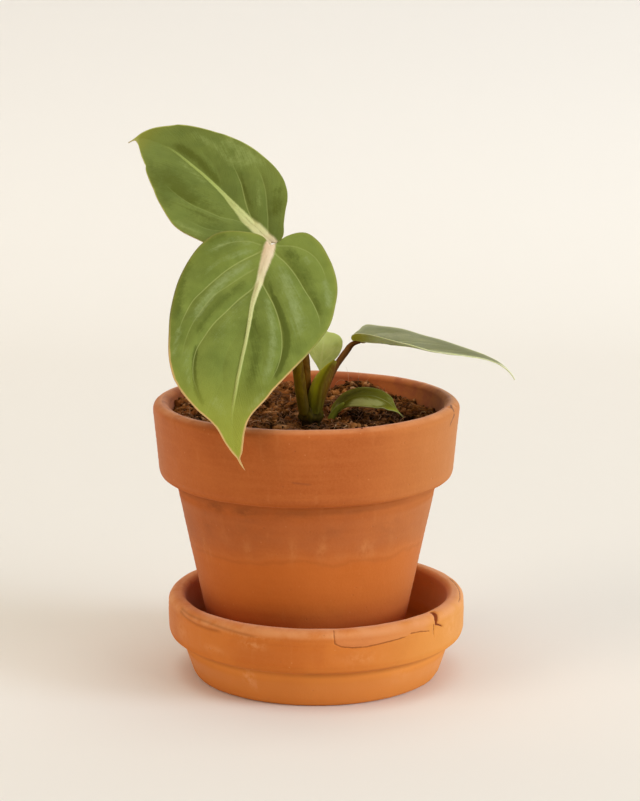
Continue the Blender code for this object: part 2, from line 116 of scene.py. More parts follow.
def mesh_piece(name, points, faces, finishes, marks=None):
    """A smooth mesh object from points in millimetres, triangles and named point values."""
    used, faces = np.unique(faces, return_inverse=True)
    faces = faces.reshape(-1, 3).astype(np.int32)
    points = points.reshape(-1, 3)[used]
    mesh = bpy.data.meshes.new(name)
    mesh.vertices.add(len(points))
    mesh.vertices.foreach_set("co", (points * MM).astype(np.float32).ravel())
    mesh.loops.add(faces.size)
    mesh.loops.foreach_set("vertex_index", faces.ravel())
    mesh.polygons.add(len(faces))
    mesh.polygons.foreach_set("loop_start", np.arange(0, faces.size, 3, dtype=np.int32))
    mesh.update(calc_edges=True)
    mesh.shade_smooth()
    for mark, values in (marks or {}).items():
        values = np.asarray(values, np.float32)
        flat = values.reshape(-1, 3) if values.shape[-1] == 3 else values.reshape(-1, 1)
        kind = "FLOAT_VECTOR" if flat.shape[1] == 3 else "FLOAT"
        layer = mesh.attributes.new(mark, kind, "POINT")
        layer.data.foreach_set("vector" if kind == "FLOAT_VECTOR" else "value",
                               np.ascontiguousarray(flat[used]).ravel())
    for finish in finishes:
        mesh.materials.append(finish.material)
    made = bpy.data.objects.new(name, mesh)
    bpy.context.scene.collection.objects.link(made)
    return made


def grid_faces(rows, columns, ring=False, poles=False, loop=False):
    """Two triangles per cell of a grid of points; the normal is row step x column step. `ring`
    joins the last column to the first, `loop` the last row to the first, and `poles` makes one
    point of the first row and one of the last."""
    ids = np.arange(rows * columns).reshape(rows, columns)
    if poles:
        ids[0] = ids[0, 0]
        ids[-1] = ids[-1, 0]
    if ring:
        ids = np.concatenate([ids, ids[:, :1]], axis=1)
    if loop:
        ids = np.concatenate([ids, ids[:1]], axis=0)
    a, b, c, d = ids[:-1, :-1], ids[:-1, 1:], ids[1:, 1:], ids[1:, :-1]
    faces = np.concatenate([np.stack([a, d, c], -1).reshape(-1, 3),
                            np.stack([a, c, b], -1).reshape(-1, 3)])
    return faces[(faces != np.roll(faces, 1, axis=1)).all(axis=1)]


class Finish:
    """A procedural surface. Most words add a node and give back what comes out of it; `coat`
    and `emboss` lay colour and relief over what is there."""

    def __init__(self, name, **settings):
        self.material = bpy.data.materials.new(name)
        self.material.use_nodes = True
        self.tree = self.material.node_tree
        self.shader = self.tree.nodes["Principled BSDF"]
        self.colour = self.relief = None
        for socket, value in settings.items():
            self.shader.inputs[socket.replace("_", " ")].default_value = value

    def feed(self, socket, value):
        """Joins another node's result to a socket, or sets the socket to a number or colour."""
        if isinstance(value, bpy.types.NodeSocket):
            self.tree.links.new(value, socket)
        elif isinstance(value, tuple) and len(value) == 3 and socket.type == "RGBA":
            socket.default_value = (*value, 1.0)
        else:
            socket.default_value = value

    def node(self, kind, feeds, **settings):
        """One node with its settings and what goes into it."""
        made = self.tree.nodes.new(kind)
        for setting, value in settings.items():
            setattr(made, setting, value)
        for socket, value in feeds.items():
            self.feed(made.inputs[socket], value)
        return made

    def place(self, stretch=(1.0, 1.0, 1.0), centre=(0.0, 0.0, 0.0)):
        """The object's own coordinates in metres, moved and stretched."""
        where = self.node("ShaderNodeTexCoord", {}).outputs["Object"]
        shift = tuple(-c * s for c, s in zip(centre, stretch))
        return self.node("ShaderNodeMapping", {"Vector": where, "Location": shift,
                                               "Scale": stretch}).outputs[0]

    def axis(self, which):
        """The object's own x, y or z in metres, numbered 0 to 2."""
        where = self.node("ShaderNodeTexCoord", {}).outputs["Object"]
        return self.node("ShaderNodeSeparateXYZ", {0: where}).outputs[which]

    def noise(self, place, size, detail=2.0, rough=0.5, warp=0.0):
        """Soft noise around 0.5 whose lumps are about `size` across, in the units of `place`."""
        feeds = {"Vector": place, "Scale": 1.0 / size, "Detail": detail,
                 "Roughness": rough, "Distortion": warp}
        return self.node("ShaderNodeTexNoise", feeds).outputs[0]

    def cells(self, place, size, feature="F1"):
        """Distance to scattered points, or to the borders between their cells."""
        feeds = {"Vector": place, "Scale": 1.0 / size}
        return self.node("ShaderNodeTexVoronoi", feeds, feature=feature).outputs["Distance"]

    def mark(self, name, part=None):
        """A named value of the mesh; `part` picks one of its three numbers."""
        made = self.node("ShaderNodeAttribute", {}, attribute_name=name)
        if part is None:
            return made.outputs["Fac"]
        return self.node("ShaderNodeSeparateXYZ", {0: made.outputs["Vector"]}).outputs[part]

    def math(self, kind, first, second=0.0, third=0.0):
        """One calculation on up to three values."""
        return self.node("ShaderNodeMath", {0: first, 1: second, 2: third},
                         operation=kind).outputs[0]

    def times(self, first, second):
        """One value times another."""
        return self.math("MULTIPLY", first, second)

    def span(self, value, low, high, start=0.0, end=1.0):
        """Eases from `start` at `low` to `end` at `high`, and stays there beyond."""
        feeds = {"Value": value, "From Min": low, "From Max": high, "To Min": start,
                 "To Max": end}
        return self.node("ShaderNodeMapRange", feeds,
                         interpolation_type="SMOOTHSTEP").outputs[0]

    def patches(self, size, detail, rough, low, high, start=0.0, end=1.0,
                stretch=(1.0, 1.0, 1.0), centre=(0.0, 0.0, 0.0)):
        """Noise of that size, eased from `start` where it is `low` to `end` where `high`."""
        noise = self.noise(self.place(stretch, centre), size, detail, rough)
        return self.span(noise, low, high, start, end)

    def mix(self, share, under, over):
        """One colour over another, as strongly as `share` says."""
        made = self.node("ShaderNodeMix", {0: share}, data_type="RGBA", clamp_factor=True)
        self.feed(made.inputs[6], under)
        self.feed(made.inputs[7], over)
        return made.outputs[2]

    def coat(self, share, colour, most=None):
        """Lays a colour over what is there, as strongly as `share` says, or that times `most`."""
        if most is not None:
            share = self.times(share, most)
        self.colour = self.mix(share, self.colour, colour)

    def ramp(self, value, stops):
        """Colours at places along a value."""
        made = self.node("ShaderNodeValToRGB", {0: value})
        bar = made.color_ramp
        while len(bar.elements) < len(stops):
            bar.elements.new(0.5)
        for element, (at, colour) in zip(bar.elements, stops):
            element.position = at
            element.color = (*colour, 1.0)
        return made.outputs[0]

    def emboss(self, height, depth):
        """Tilts the surface as if `height` were relief `depth` metres deep, over what is there."""
        feeds = {"Height": height, "Distance": depth, "Strength": 1.0}
        if self.relief is not None:
            feeds["Normal"] = self.relief
        self.relief = self.node("ShaderNodeBump", feeds).outputs[0]

    def done(self):
        """Gives the colour and the relief to the shader."""
        self.feed(self.shader.inputs["Base Color"], self.colour)
        if self.relief is not None:
            self.feed(self.shader.inputs["Normal"], self.relief)
        return self


turn = np.radians(np.linspace(0.0, 90.0, 40))
run = np.concatenate([[-PAPER_REACH], FLOOR_DEPTH + SWEEP * np.sin(turn), [FLOOR_DEPTH + SWEEP]])
rise = np.concatenate([[0.0], SWEEP * (1.0 - np.cos(turn)), [PAPER_REACH]])
side = np.linspace(PAPER_REACH, -PAPER_REACH, PAPER_COLUMNS)
paper_points = np.stack(np.broadcast_arrays(side[None, :], run[:, None], rise[:, None]), -1)
paper = Finish("cream_paper", Roughness=0.9, Specular_IOR_Level=0.1)
paper.colour = paper.mix(paper.noise(paper.place(), 0.5, 1.0), (0.882, 0.836, 0.776),
                         (0.872, 0.824, 0.758))
paper.coat(paper.span(paper.axis(2), 0.0, 0.24), (0.775, 0.730, 0.680))
backdrop = mesh_piece("backdrop", paper_points, grid_faces(len(run), PAPER_COLUMNS),
                      [paper.done()])


# Saucer
# Terracotta, thrown on a wheel and fired without a glaze: a dish with a thick rolled band.
# Its rim has dried and split, with a hairline round a flake, a small chip and a few scuffs.
SAUCER_WALL = 54.5             # radius at the band
SAUCER_TOP = 30.5
SAUCER_MOUTH = 48.4
SAUCER_FLOOR = 5.0
SAUCER_DISH = 44.2             # radius inside, just above the fillet
SAUCER_BAND_FOOT = 14.0
SAUCER_FOOT = 43.8
BAND_ROUND = 4.0               # fillet inside the dish, and the round under both bands
BAND_ROUND_END = -80           # degrees: the round stops short of level
LIP_INNER = 2.2                # radii of both rims' edges
LIP_OUTER = 3.0
CRACKED_BAND = (0.36, 22.0, 31.0, 50.5)


def arc(centre_r, centre_z, radius, start, end, steps=14):
    """Points on a circle in the plane of radius and height, angles in degrees."""
    angles = np.radians(np.linspace(start, end, steps + 1))
    return np.stack([centre_r + radius * np.cos(angles), centre_z + radius * np.sin(angles)], -1)


def lip(mouth, outside, top):
    """A rim's rounded edge: up from the inner wall, over the top and down to the outside."""
    return np.concatenate([
        arc(mouth + LIP_INNER, top - LIP_INNER, LIP_INNER, 180, 90),
        arc(outside - LIP_OUTER, top - LIP_OUTER, LIP_OUTER, 90, 0)])


def band_end(radius, foot):
    """The round under a rim band of that radius, which ends at the height `foot`."""
    return arc(radius - BAND_ROUND, foot + BAND_ROUND, BAND_ROUND, 0, BAND_ROUND_END)


def spaced(profile, step, fine=None):
    """The profile with points put in between until they are about `step` apart. `fine` is
    (another step, lowest, highest, innermost) for the part that lies in those limits."""
    profile = np.asarray(profile, float)
    pieces = [profile[:1]]
    for start, end in zip(profile[:-1], profile[1:]):
        pitch = step
        radius, height = (start + end) / 2
        if fine and fine[1] <= height <= fine[2] and radius > fine[3]:
            pitch = fine[0]
        count = max(1, math.ceil(math.hypot(*(end - start)) / pitch))
        shares = np.linspace(0.0, 1.0, count + 1)[1:, None]
        pieces.append(start + shares * (end - start))
    return np.concatenate(pieces)


def lattice_noise(places, size, seed):
    """Smooth noise from -1 to 1: hashed random numbers on a lattice `size` apart, eased
    between its corners by s * s * (3 - 2 * s)."""
    cells = np.asarray(places, float) / size
    low = np.floor(cells).astype(np.int64)
    s = cells - low
    s = s * s * (3.0 - 2.0 * s)
    total = np.zeros(cells.shape[:-1])
    for corner in itertools.product((0, 1), repeat=cells.shape[-1]):
        at = low + np.array(corner)
        mixed = np.full(total.shape, seed * 7919 + 1013, np.int64)
        for axis, prime in zip(range(cells.shape[-1]), (374761393, 668265263, 2246822519)):
            mixed = mixed * 31 + at[..., axis] * prime
            mixed = (mixed ^ (mixed >> 13)) * 1274126177
        value = ((mixed ^ (mixed >> 16)) & 0xFFFF) / 32767.5 - 1.0
        total = total + np.prod(np.where(np.array(corner) == 1, s, 1.0 - s), axis=-1) * value
    return total


def turned(profile, angles, centre_x=0.0):
    """The profile (radius, height) carried round the vertical line x = centre_x.
    Angle 0 faces the camera (-Y) and 90 is +X."""
    swing = np.radians(angles)[None, :]
    radius, height = profile[:, 0:1], profile[:, 1:2]
    return np.stack(np.broadcast_arrays(centre_x + radius * np.sin(swing),
                                        -radius * np.cos(swing), height), -1)


def outward(points):
    """Unit normals of a grid that closes on itself sideways: row step x column step."""
    rows = np.gradient(points, axis=0)
    wrapped = np.concatenate([points[:, -1:], points, points[:, :1]], axis=1)
    return unit(np.cross(rows, (wrapped[:, 2:] - wrapped[:, :-2]) / 2))


def unit(vectors):
    """The vectors at length 1."""
    return vectors / np.maximum(np.linalg.norm(vectors, axis=-1, keepdims=True), 1e-9)


def distances(line):
    """Distance walked along a bent line, at each of its points."""
    steps = np.linalg.norm(np.diff(np.asarray(line, float), axis=0), axis=1)
    return np.concatenate([[0.0], np.cumsum(steps)])


def along_route(places, route):
    """Signed distance in mm from places in a plane to a bent line, and the share of the line
    reached there, below 0 before its start and above 1 past its end."""
    route = np.asarray(route, float)
    steps = np.diff(route, axis=0)
    starts = distances(route)
    best = np.full(places.shape[:-1], np.inf)
    signed = np.zeros_like(best)
    share = np.zeros_like(best)
    last = len(steps) - 1
    for k, (start, step, length) in enumerate(zip(route[:-1], steps, np.diff(starts))):
        away = places - start
        at = (away @ step) / length ** 2
        held = np.clip(at, 0.0, 1.0)
        distance = np.linalg.norm(away - held[..., None] * step, axis=-1)
        closer = distance < best
        hand = np.where(step[0] * away[..., 1] < step[1] * away[..., 0], -1.0, 1.0)
        free = np.where((k == 0) & (at < 0) | (k == last) & (at > 1), at, held)
        best = np.where(closer, distance, best)
        signed = np.where(closer, distance * hand, signed)
        share = np.where(closer, (starts[k] + free * length) / starts[-1], share)
    return signed, share


def eased(value, low, high):
    """0 below `low`, 1 above `high`, with a smooth step between."""
    s = np.clip((value - low) / (high - low), 0.0, 1.0)
    return s * s * (3.0 - 2.0 * s)


def hairlines(arc_mm, height, routes, reach=1.1):
    """For each place on a wall, (signed distance to the nearest hairline, how much of it is
    there, 0). A hairline fades over its last tenth and beyond `reach` mm to its side."""
    places = np.stack([arc_mm, height], -1)
    best = np.full(arc_mm.shape, np.inf)
    signed = np.full(arc_mm.shape, reach * 2)
    there = np.zeros(arc_mm.shape)
    for route in routes:
        distance, share = along_route(places, route)
        off = np.abs(distance)
        shown = eased(share, -0.03, 0.02) * (1.0 - eased(share, 0.9, 1.02))
        shown = shown * (1.0 - eased(off, reach * 0.6, reach))
        closer = off < best
        best = np.where(closer, off, best)
        signed = np.where(closer, distance, signed)
        there = np.where(closer, shown, there)
    return np.stack([np.clip(signed, -2 * reach, 2 * reach), there, np.zeros_like(there)], -1)


def blots(arc_mm, height, spots):
    """Sum of soft ovals (arc, height, half width, half height, strength) on a wall."""
    total = np.zeros(arc_mm.shape)
    for x, z, wide, tall, strength in spots:
        total += strength * np.exp(-((arc_mm - x) / wide) ** 2 - ((height - z) / tall) ** 2)
    return total


def fired_clay(name, centre_x, dark, light, ledge, foot):
    """Terracotta before its own marks: a matt, finely grained clay body between two tones,
    faintly ringed by the wheel and streaked downwards. Its right flank is painted paler, as
    painted light from the right, and painted shade darkens the ledge under the band. Its pale
    bloom is rubbed off at the ledge under the band and below the heights in `foot`."""
    clay = Finish(name, Roughness=0.85, Specular_IOR_Level=0.15, Sheen_Roughness=0.45,
                  Sheen_Tint=(1.0, 0.93, 0.78, 1.0))
    centre = (centre_x * MM, 0.0, 0.0)
    solid = clay.place(centre=centre)
    clouds = clay.noise(solid, 0.030, 4.0, 0.55, 0.3)
    clay.colour = clay.mix(clay.span(clouds, 0.34, 0.68), dark, light)
    rings = clay.noise(clay.place((1.0, 1.0, 20.0), centre), 0.042, 2.0, 0.5)
    clay.coat(clay.span(rings, 0.40, 0.72, 0.0, 0.13), (0.62, 0.195, 0.046))
    clay.coat(clay.patches(0.022, 3.0, 0.6, 0.58, 0.80, 0.0, 0.20, (9.0, 9.0, 0.8), centre),
              (0.66, 0.235, 0.070))
    grain = clay.noise(solid, 0.0009, 3.0, 0.7)
    clay.coat(clay.span(grain, 0.30, 0.72, 0.0, 0.18), (0.64, 0.195, 0.046))
    specks = clay.cells(solid, 0.0050)
    clay.coat(clay.span(specks, 0.03, 0.085, 0.30, 0.0), (0.30, 0.075, 0.018))
    sand = clay.cells(clay.place(centre=(0.013, 0.021, 0.005)), 0.0042)
    clay.coat(clay.span(sand, 0.04, 0.10, 0.22, 0.0), (0.76, 0.36, 0.14))
    # Painted light: the flank towards the soft boxes on the right is painted paler.
    lit_flank = tuple(c * gain for c, gain in zip(light, (1.08, 1.55, 1.95)))
    clay.coat(clay.span(clay.axis(0), 0.008, 0.056, 0.0, 0.75), lit_flank)
    off_ledge = clay.math("ABSOLUTE", clay.math("SUBTRACT", clay.axis(2), ledge))
    # Painted shade: a soft dark line along the ledge under the band, in patches.
    clay.coat(clay.times(clay.span(off_ledge, 0.0022, 0.0004),
                         clay.span(clouds, 0.30, 0.62, 0.2, 0.6)), (0.28, 0.070, 0.011))
    bloom = clay.times(clay.span(off_ledge, 0.0030, 0.0050, 0.0, 0.22),
                       clay.span(clay.axis(2), *foot))
    clay.feed(clay.shader.inputs["Sheen Weight"], bloom)
    clay.emboss(grain, 0.00007)
    clay.emboss(rings, 0.00005)
    clay.emboss(clay.span(specks, 0.02, 0.09), 0.00010)
    return clay


# Each line is (arc to the right along the wall from the front, height along the wall).
FLAKE_LINE = [(6.5, 31.5), (6.4, 29.1), (6.6, 26.2), (8.7, 25.0), (12.6, 24.4), (17.8, 24.3),
              (24.6, 24.9), (34.7, 25.8)]
SHORT_LINE = [(36.1, 26.5), (40.4, 26.3), (45.7, 25.4)]
CHIP_LINE = [(51.6, 33.4), (51.2, 31.0), (50.1, 28.8), (49.4, 27.1), (51.6, 26.2), (53.7, 25.2)]
CHIP_DROP = [(48.1, 27.2), (47.9, 25.0), (47.8, 22.6)]
SIDE_LINE = [(72.0, 29.6), (76.0, 29.9), (80.0, 30.4), (86.0, 31.0), (93.0, 31.6), (101.0, 32.0)]
LAYER_LINE = [(-62.0, 29.9), (-55.0, 29.3), (-44.0, 29.2), (-30.1, 28.2), (-20.6, 27.4)]
EDGE_LINE = [(-62.0, 28.8), (-55.5, 27.6), (-49.0, 27.0), (-43.0, 26.9), (-36.0, 27.1)]
CHIP_SHARES = (0.0, 0.23, 0.47, 0.63, 0.70, 1.0)
CHIP_HALVES = (1.5, 1.4, 1.15, 0.50, 0.28, 0.22)    # its half widths there
BAND_MIDDLE = 27.5             # where height along the wall and true height agree
BAND_FACE = 54.0               # radius beyond which lies only the band's upright face
RIM_WALK = 5.5                 # from the band's middle up and over the rim, along the wall
MARKED_RADIUS = 49.0           # the wall's marks end where it has drawn in to this
BAND_ABOVE = 20.0              # flake and chip stay above this height along the wall
SHADE_ABOVE = 1.0              # painted shade on the dish and the wall's narrow foot:
SHADE_RADIUS = 48.6            # what lies above that height and within this radius
FAR_OFF = -60.0                # height along the wall for what isn't the outer wall
PLAIN_FOOT = 0.3               # a foot keeps its turned form up to this height

saucer_profile = spaced(np.concatenate([
    [(0.0, SAUCER_FLOOR), (20.0, SAUCER_FLOOR)],
    arc(SAUCER_DISH - BAND_ROUND, SAUCER_FLOOR + BAND_ROUND, BAND_ROUND, -90, 0),
    lip(SAUCER_MOUTH, SAUCER_WALL, SAUCER_TOP), [(54.6, 24.0)],
    band_end(SAUCER_WALL, SAUCER_BAND_FOOT),
    [(49.7, 13.4), (45.8, 1.8), (45.0, 0.5), (SAUCER_FOOT, 0.0), (20.0, 0.0), (0.0, 0.0)]]),
    2.2, CRACKED_BAND)
saucer_angles = np.concatenate([np.arange(-180.0, -1.0, 1.5), np.arange(-1.0, 64.0, 0.36),
                                np.arange(64.0, 180.0, 1.5)])
saucer_points = turned(saucer_profile, saucer_angles)
saucer_normal = outward(saucer_points)
saucer_radius, saucer_height = saucer_profile[:, 0:1], saucer_points[..., 2]
walk = distances(saucer_profile)[:, None]
middle_row = np.argmin(np.where(saucer_profile[:, 0] < BAND_FACE, np.inf,
                                np.abs(saucer_profile[:, 1] - BAND_MIDDLE)))
past_middle = walk - walk[middle_row]
outer = (saucer_radius > MARKED_RADIUS) & (past_middle > -RIM_WALK)
wall_arc, wall_height = np.broadcast_arrays(
    np.radians(saucer_angles)[None, :] * SAUCER_WALL,
    np.where(outer, BAND_MIDDLE - past_middle, FAR_OFF))
on_band = wall_height > BAND_ABOVE

cracks = hairlines(wall_arc, wall_height, [FLAKE_LINE, SHORT_LINE, CHIP_LINE, CHIP_DROP,
                                           SIDE_LINE])
layers = hairlines(wall_arc, wall_height, [LAYER_LINE, EDGE_LINE], 2.4)
layer = layers[..., 1] * np.exp(-(layers[..., 0] / 0.55) ** 2)
wall_place = np.stack([wall_arc, wall_height], -1)
flake_edge, _ = along_route(wall_place, FLAKE_LINE + SHORT_LINE)
flake = (eased(flake_edge, 0.0, 0.35) * eased(wall_arc, 6.4, 6.9)
         * (1.0 - eased(wall_arc, 42.0, 47.0)) * (1.0 - eased(wall_height, 29.2, 31.0))
         * on_band)
chip_gap, chip_share = along_route(wall_place, CHIP_LINE)
chip_half = np.interp(chip_share, CHIP_SHARES, CHIP_HALVES)
chip = np.clip(1.0 - np.abs(chip_gap) / chip_half, 0.0, 1.0)
chip = chip * (1.0 - eased(chip_share, 0.9, 1.0)) * on_band
groove = cracks[..., 1] * np.exp(-(cracks[..., 0] / 0.30) ** 2)
sunk = 0.32 * groove + 0.13 * flake + np.sqrt(chip) + 0.16 * layer
sunk += 0.10 * lattice_noise(saucer_points, 9.0, 3) + 0.05 * lattice_noise(saucer_points, 3.1, 4)
sunk += 0.035 * np.sin(saucer_height * 3.1 + 2.0 * lattice_noise(saucer_points, 40.0, 5))
sunk[saucer_height < PLAIN_FOOT] = 0.0
saucer_points = saucer_points - sunk[..., None] * saucer_normal
saucer_scuffs = blots(wall_arc, saucer_points[..., 2], [
    (-28.0, 10.2, 2.2, 2.6, 0.9), (-26.0, 7.6, 1.2, 2.0, 0.6), (-23.0, 24.6, 4.5, 1.6, 0.5),
    (-40.0, 28.6, 12.0, 0.7, 0.45), (-24.0, 27.3, 8.0, 0.6, 0.45), (10.0, 29.2, 5.0, 0.6, 0.4),
    (-40.0, 20.0, 5.0, 1.2, 0.3), (16.0, 20.5, 7.0, 1.5, 0.35), (36.0, 9.0, 6.0, 2.0, 0.3),
    (-60.0, 22.0, 4.0, 3.0, 0.3), (60.0, 24.0, 5.0, 3.0, 0.45)])
dish_shade = ~outer & (saucer_profile[:, 1:2] >= SHADE_ABOVE) & (saucer_radius < SHADE_RADIUS)
dish_shade = np.broadcast_to(dish_shade, wall_arc.shape)

clay = fired_clay("saucer_clay", 0.0, (0.56, 0.142, 0.018), (0.66, 0.192, 0.029), 0.0136,
                  (0.002, 0.007))
# Painted light from the floor: everything lower than the band is painted lighter.
clay.coat(clay.span(clay.axis(2), 0.010, 0.019, 0.60, 0.0), (0.76, 0.278, 0.053))
clay.coat(clay.times(clay.span(clay.axis(2), 0.0270, 0.0292),
                     clay.patches(0.009, 4.0, 0.6, 0.30, 0.62, 0.15, 0.75)),
          (0.75, 0.315, 0.120))
clay.coat(clay.mark("flake"), (0.66, 0.25, 0.10), 0.35)
clay.coat(clay.times(clay.mark("scuff"), clay.patches(0.0028, 3.0, 0.65, 0.34, 0.62)),
          (0.80, 0.36, 0.13))
# Painted shade inside the dish and on the narrow foot under the band.
clay.coat(clay.mark("dish_shade"), (0.46, 0.090, 0.016), 0.15)
clay.coat(clay.mark("layer"), (0.33, 0.085, 0.014), 0.5)
gap = clay.math("ABSOLUTE", clay.mark("crack", 0))
ragged = clay.patches(0.0016, 2.0, 0.5, 0.3, 0.7, 0.16, 0.38)
line = clay.times(clay.mark("crack", 1),
                  clay.math("SUBTRACT", 1.0, clay.math("DIVIDE", gap, ragged)))
clay.coat(clay.span(line, 0.0, 0.55), (0.25, 0.063, 0.012), 0.70)
# Painted shade in the chip's notch: its hollow is painted dark brown.
clay.coat(clay.span(clay.mark("chip"), 0.05, 0.32, 0.0, 0.94), (0.26, 0.044, 0.005))
saucer = mesh_piece(
    "saucer_ware", saucer_points, grid_faces(*wall_arc.shape, ring=True, poles=True),
    [clay.done()], {"crack": cracks, "flake": flake, "chip": chip, "scuff": saucer_scuffs,
                    "layer": layer, "dish_shade": dish_shade})
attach(saucer, "root")
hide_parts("saucer")


# Pot
# Terracotta from the same clay: a tapered wall, a deep rim band with a step under it, and a
# drain hole. Watering has left a dusty zone that ends in a wavy tide line, and a damp foot that
# is also darkened with painted shade where it stands in the saucer. Painted shade lies under the
# band and on the inner wall, and painted light brightens the clean body below the tide line.
POT_AXIS = -3.6                # the pot stands a little to the left in its saucer
POT_BASE = 5.3
POT_FLOOR = 12.0
POT_FLOOR_ROUND = 2.0
POT_FLOOR_REACH = 30.4         # radius inside, just above that round
DRAIN = 6.0                    # radius of the drain hole
PLAIN_DRAIN = 7.0              # its edge keeps its turned form out to this radius
POT_WALL = 55.8
POT_TOP = 102.3
POT_MOUTH = 50.2
POT_STEP = 43.4                # radius inside, at the band's lower edge
BAND_FOOT = 74.0
BAND_LOW_WALL = 53.8
BODY_WALL = 44.0               # radius at which arcs on the tapered wall are measured
FAINT_BEFORE = 40.0            # scratches before this arc along the rim are faint

pot_profile = spaced(np.concatenate([
    [(DRAIN, POT_FLOOR)], arc(POT_FLOOR_REACH - POT_FLOOR_ROUND, POT_FLOOR + POT_FLOOR_ROUND,
                              POT_FLOOR_ROUND, -90, 0),
    [(POT_STEP, BAND_FOOT)], lip(POT_MOUTH, POT_WALL, POT_TOP),
    band_end(BAND_LOW_WALL, BAND_FOOT),
    [(47.8, 73.3), (47.6, 72.4), (33.9, 6.6), (32.7, POT_BASE), (DRAIN, POT_BASE)]]), 1.25)
pot_angles = np.arange(-180.0, 180.0, 0.9)
pot_points = turned(pot_profile, pot_angles, POT_AXIS)
pot_normal = outward(pot_points)
pot_height = pot_points[..., 2]
pot_walk = distances(pot_profile)
over_rim = pot_walk - pot_walk[np.argmax(pot_profile[:, 1])]
pot_turn, rim_drop, on_outside = np.broadcast_arrays(
    np.radians(pot_angles)[None, :], over_rim[:, None], (over_rim > 0.0)[:, None])
rim_arc, body_arc = pot_turn * POT_WALL, pot_turn * BODY_WALL
dents = 0.12 * lattice_noise(pot_points, 13.0, 11) + 0.05 * lattice_noise(pot_points, 3.4, 12)
dents += 0.04 * np.sin(pot_height * 2.3 + 2.0 * lattice_noise(pot_points, 50.0, 13))
dents += blots(rim_arc, rim_drop, [
    (72.0, 1.0, 1.6, 0.9, 0.5), (78.0, 2.4, 1.3, 0.8, 0.4), (-55.0, 1.5, 1.8, 0.8, 0.35),
    (-20.0, 0.8, 2.2, 0.7, 0.2), (20.0, 1.2, 3.0, 0.8, 0.2)])
dents[(pot_height < POT_BASE + PLAIN_FOOT) | (pot_profile[:, 0:1] < PLAIN_DRAIN)] = 0.0
pot_points = pot_points - dents[..., None] * pot_normal
rim_scratches = on_outside[..., None] * hairlines(rim_arc, rim_drop, [
    [(65.5, 7.2), (68.0, 5.2), (70.5, 4.0)], [(71.0, 3.4), (73.2, 1.6), (76.5, 0.6)],
    [(-4.5, 20.3), (-1.0, 20.8), (2.0, 21.0)]])
rim_scratches[..., 1] *= np.where(rim_arc < FAINT_BEFORE, 0.35, 1.0)
pot_scuffs = blots(rim_arc, rim_drop, [
    (-57.5, 3.0, 0.5, 2.2, 0.9), (-55.6, 6.5, 0.5, 2.0, 0.7), (-49.6, 6.6, 0.4, 1.6, 0.6),
    (-52.5, 1.0, 2.5, 0.8, 0.5), (-30.0, 9.0, 4.0, 3.0, 0.25), (34.0, 3.0, 9.0, 1.0, 0.45),
    (52.0, 12.0, 7.0, 4.0, 0.30), (12.0, 2.0, 10.0, 0.8, 0.35)])
pot_scuffs += blots(body_arc, pot_height, [
    (-43.5, 53.0, 1.3, 5.0, 0.8), (-40.5, 51.0, 0.9, 3.0, 0.5), (-21.2, 56.4, 1.4, 4.2, 0.7),
    (-4.6, 56.6, 1.3, 4.0, 0.8), (5.9, 58.2, 1.2, 4.4, 0.9), (4.2, 56.0, 1.0, 3.0, 0.5),
    (21.2, 56.5, 2.0, 3.6, 0.9), (24.5, 55.8, 1.6, 3.2, 0.6), (-31.0, 60.0, 3.0, 2.2, 0.35),
    (13.0, 54.6, 4.0, 1.0, 0.5), (-12.0, 55.0, 5.0, 1.0, 0.4), (33.0, 60.0, 1.5, 4.0, 0.4)])
# Painted shade under the rim band, as soft blots.
band_shadow_blots = blots(body_arc, pot_height, [
    (-33.0, 70.5, 5.0, 2.6, 0.8), (-20.0, 70.0, 6.0, 2.4, 0.9), (-6.0, 70.6, 7.0, 1.6, 0.6),
    (-38.0, 64.0, 2.5, 5.0, 0.4), (-24.0, 63.0, 5.0, 3.0, 0.35), (8.0, 64.0, 6.0, 3.0, 0.30),
    (30.0, 64.0, 5.0, 4.0, 0.30), (16.0, 71.5, 9.0, 1.0, 0.45)])

clay = fired_clay("pot_clay", POT_AXIS, (0.42, 0.094, 0.015), (0.50, 0.124, 0.023), 0.0722,
                  (0.020, 0.045))
height = clay.axis(2)
waver = clay.noise(clay.place(centre=(POT_AXIS * MM, 0.0, 0.0)), 0.022, 3.0, 0.6)
wavy = clay.math("ADD", height, clay.math("MULTIPLY_ADD", waver, 0.009, -0.0045))
patchy = clay.patches(0.007, 4.0, 0.65, 0.25, 0.75, 0.35, 1.0, stretch=(1.0, 1.0, 2.0))
dusty = clay.times(clay.span(wavy, 0.0480, 0.0600), clay.span(height, 0.0735, 0.0722))
clay.coat(clay.times(dusty, patchy), (0.420, 0.114, 0.030), 0.5)
# Painted shade under the band, broken up by patches.
band_shadow_share = clay.times(clay.mark("band_shadow"), clay.patches(0.006, 4.0, 0.65, 0.3, 0.65,
                                                     stretch=(1.0, 1.0, 1.6)))
clay.coat(band_shadow_share, (0.210, 0.058, 0.015), 0.75)
# Below the tide line the clay is clean of dust, and painted light from the floor brightens it.
clean_and_lit = clay.times(clay.span(wavy, 0.0590, 0.0480), clay.span(height, 0.024, 0.038))
clay.coat(clean_and_lit, (0.60, 0.142, 0.013), 0.60)
tide = clay.times(clay.span(wavy, 0.0518, 0.0528), clay.span(wavy, 0.0545, 0.0533))
clay.coat(clay.times(tide, patchy), (0.70, 0.26, 0.085), 0.08)
under_tide = clay.times(clay.span(wavy, 0.0502, 0.0512), clay.span(wavy, 0.0524, 0.0514))
clay.coat(under_tide, (0.30, 0.070, 0.010), 0.14)
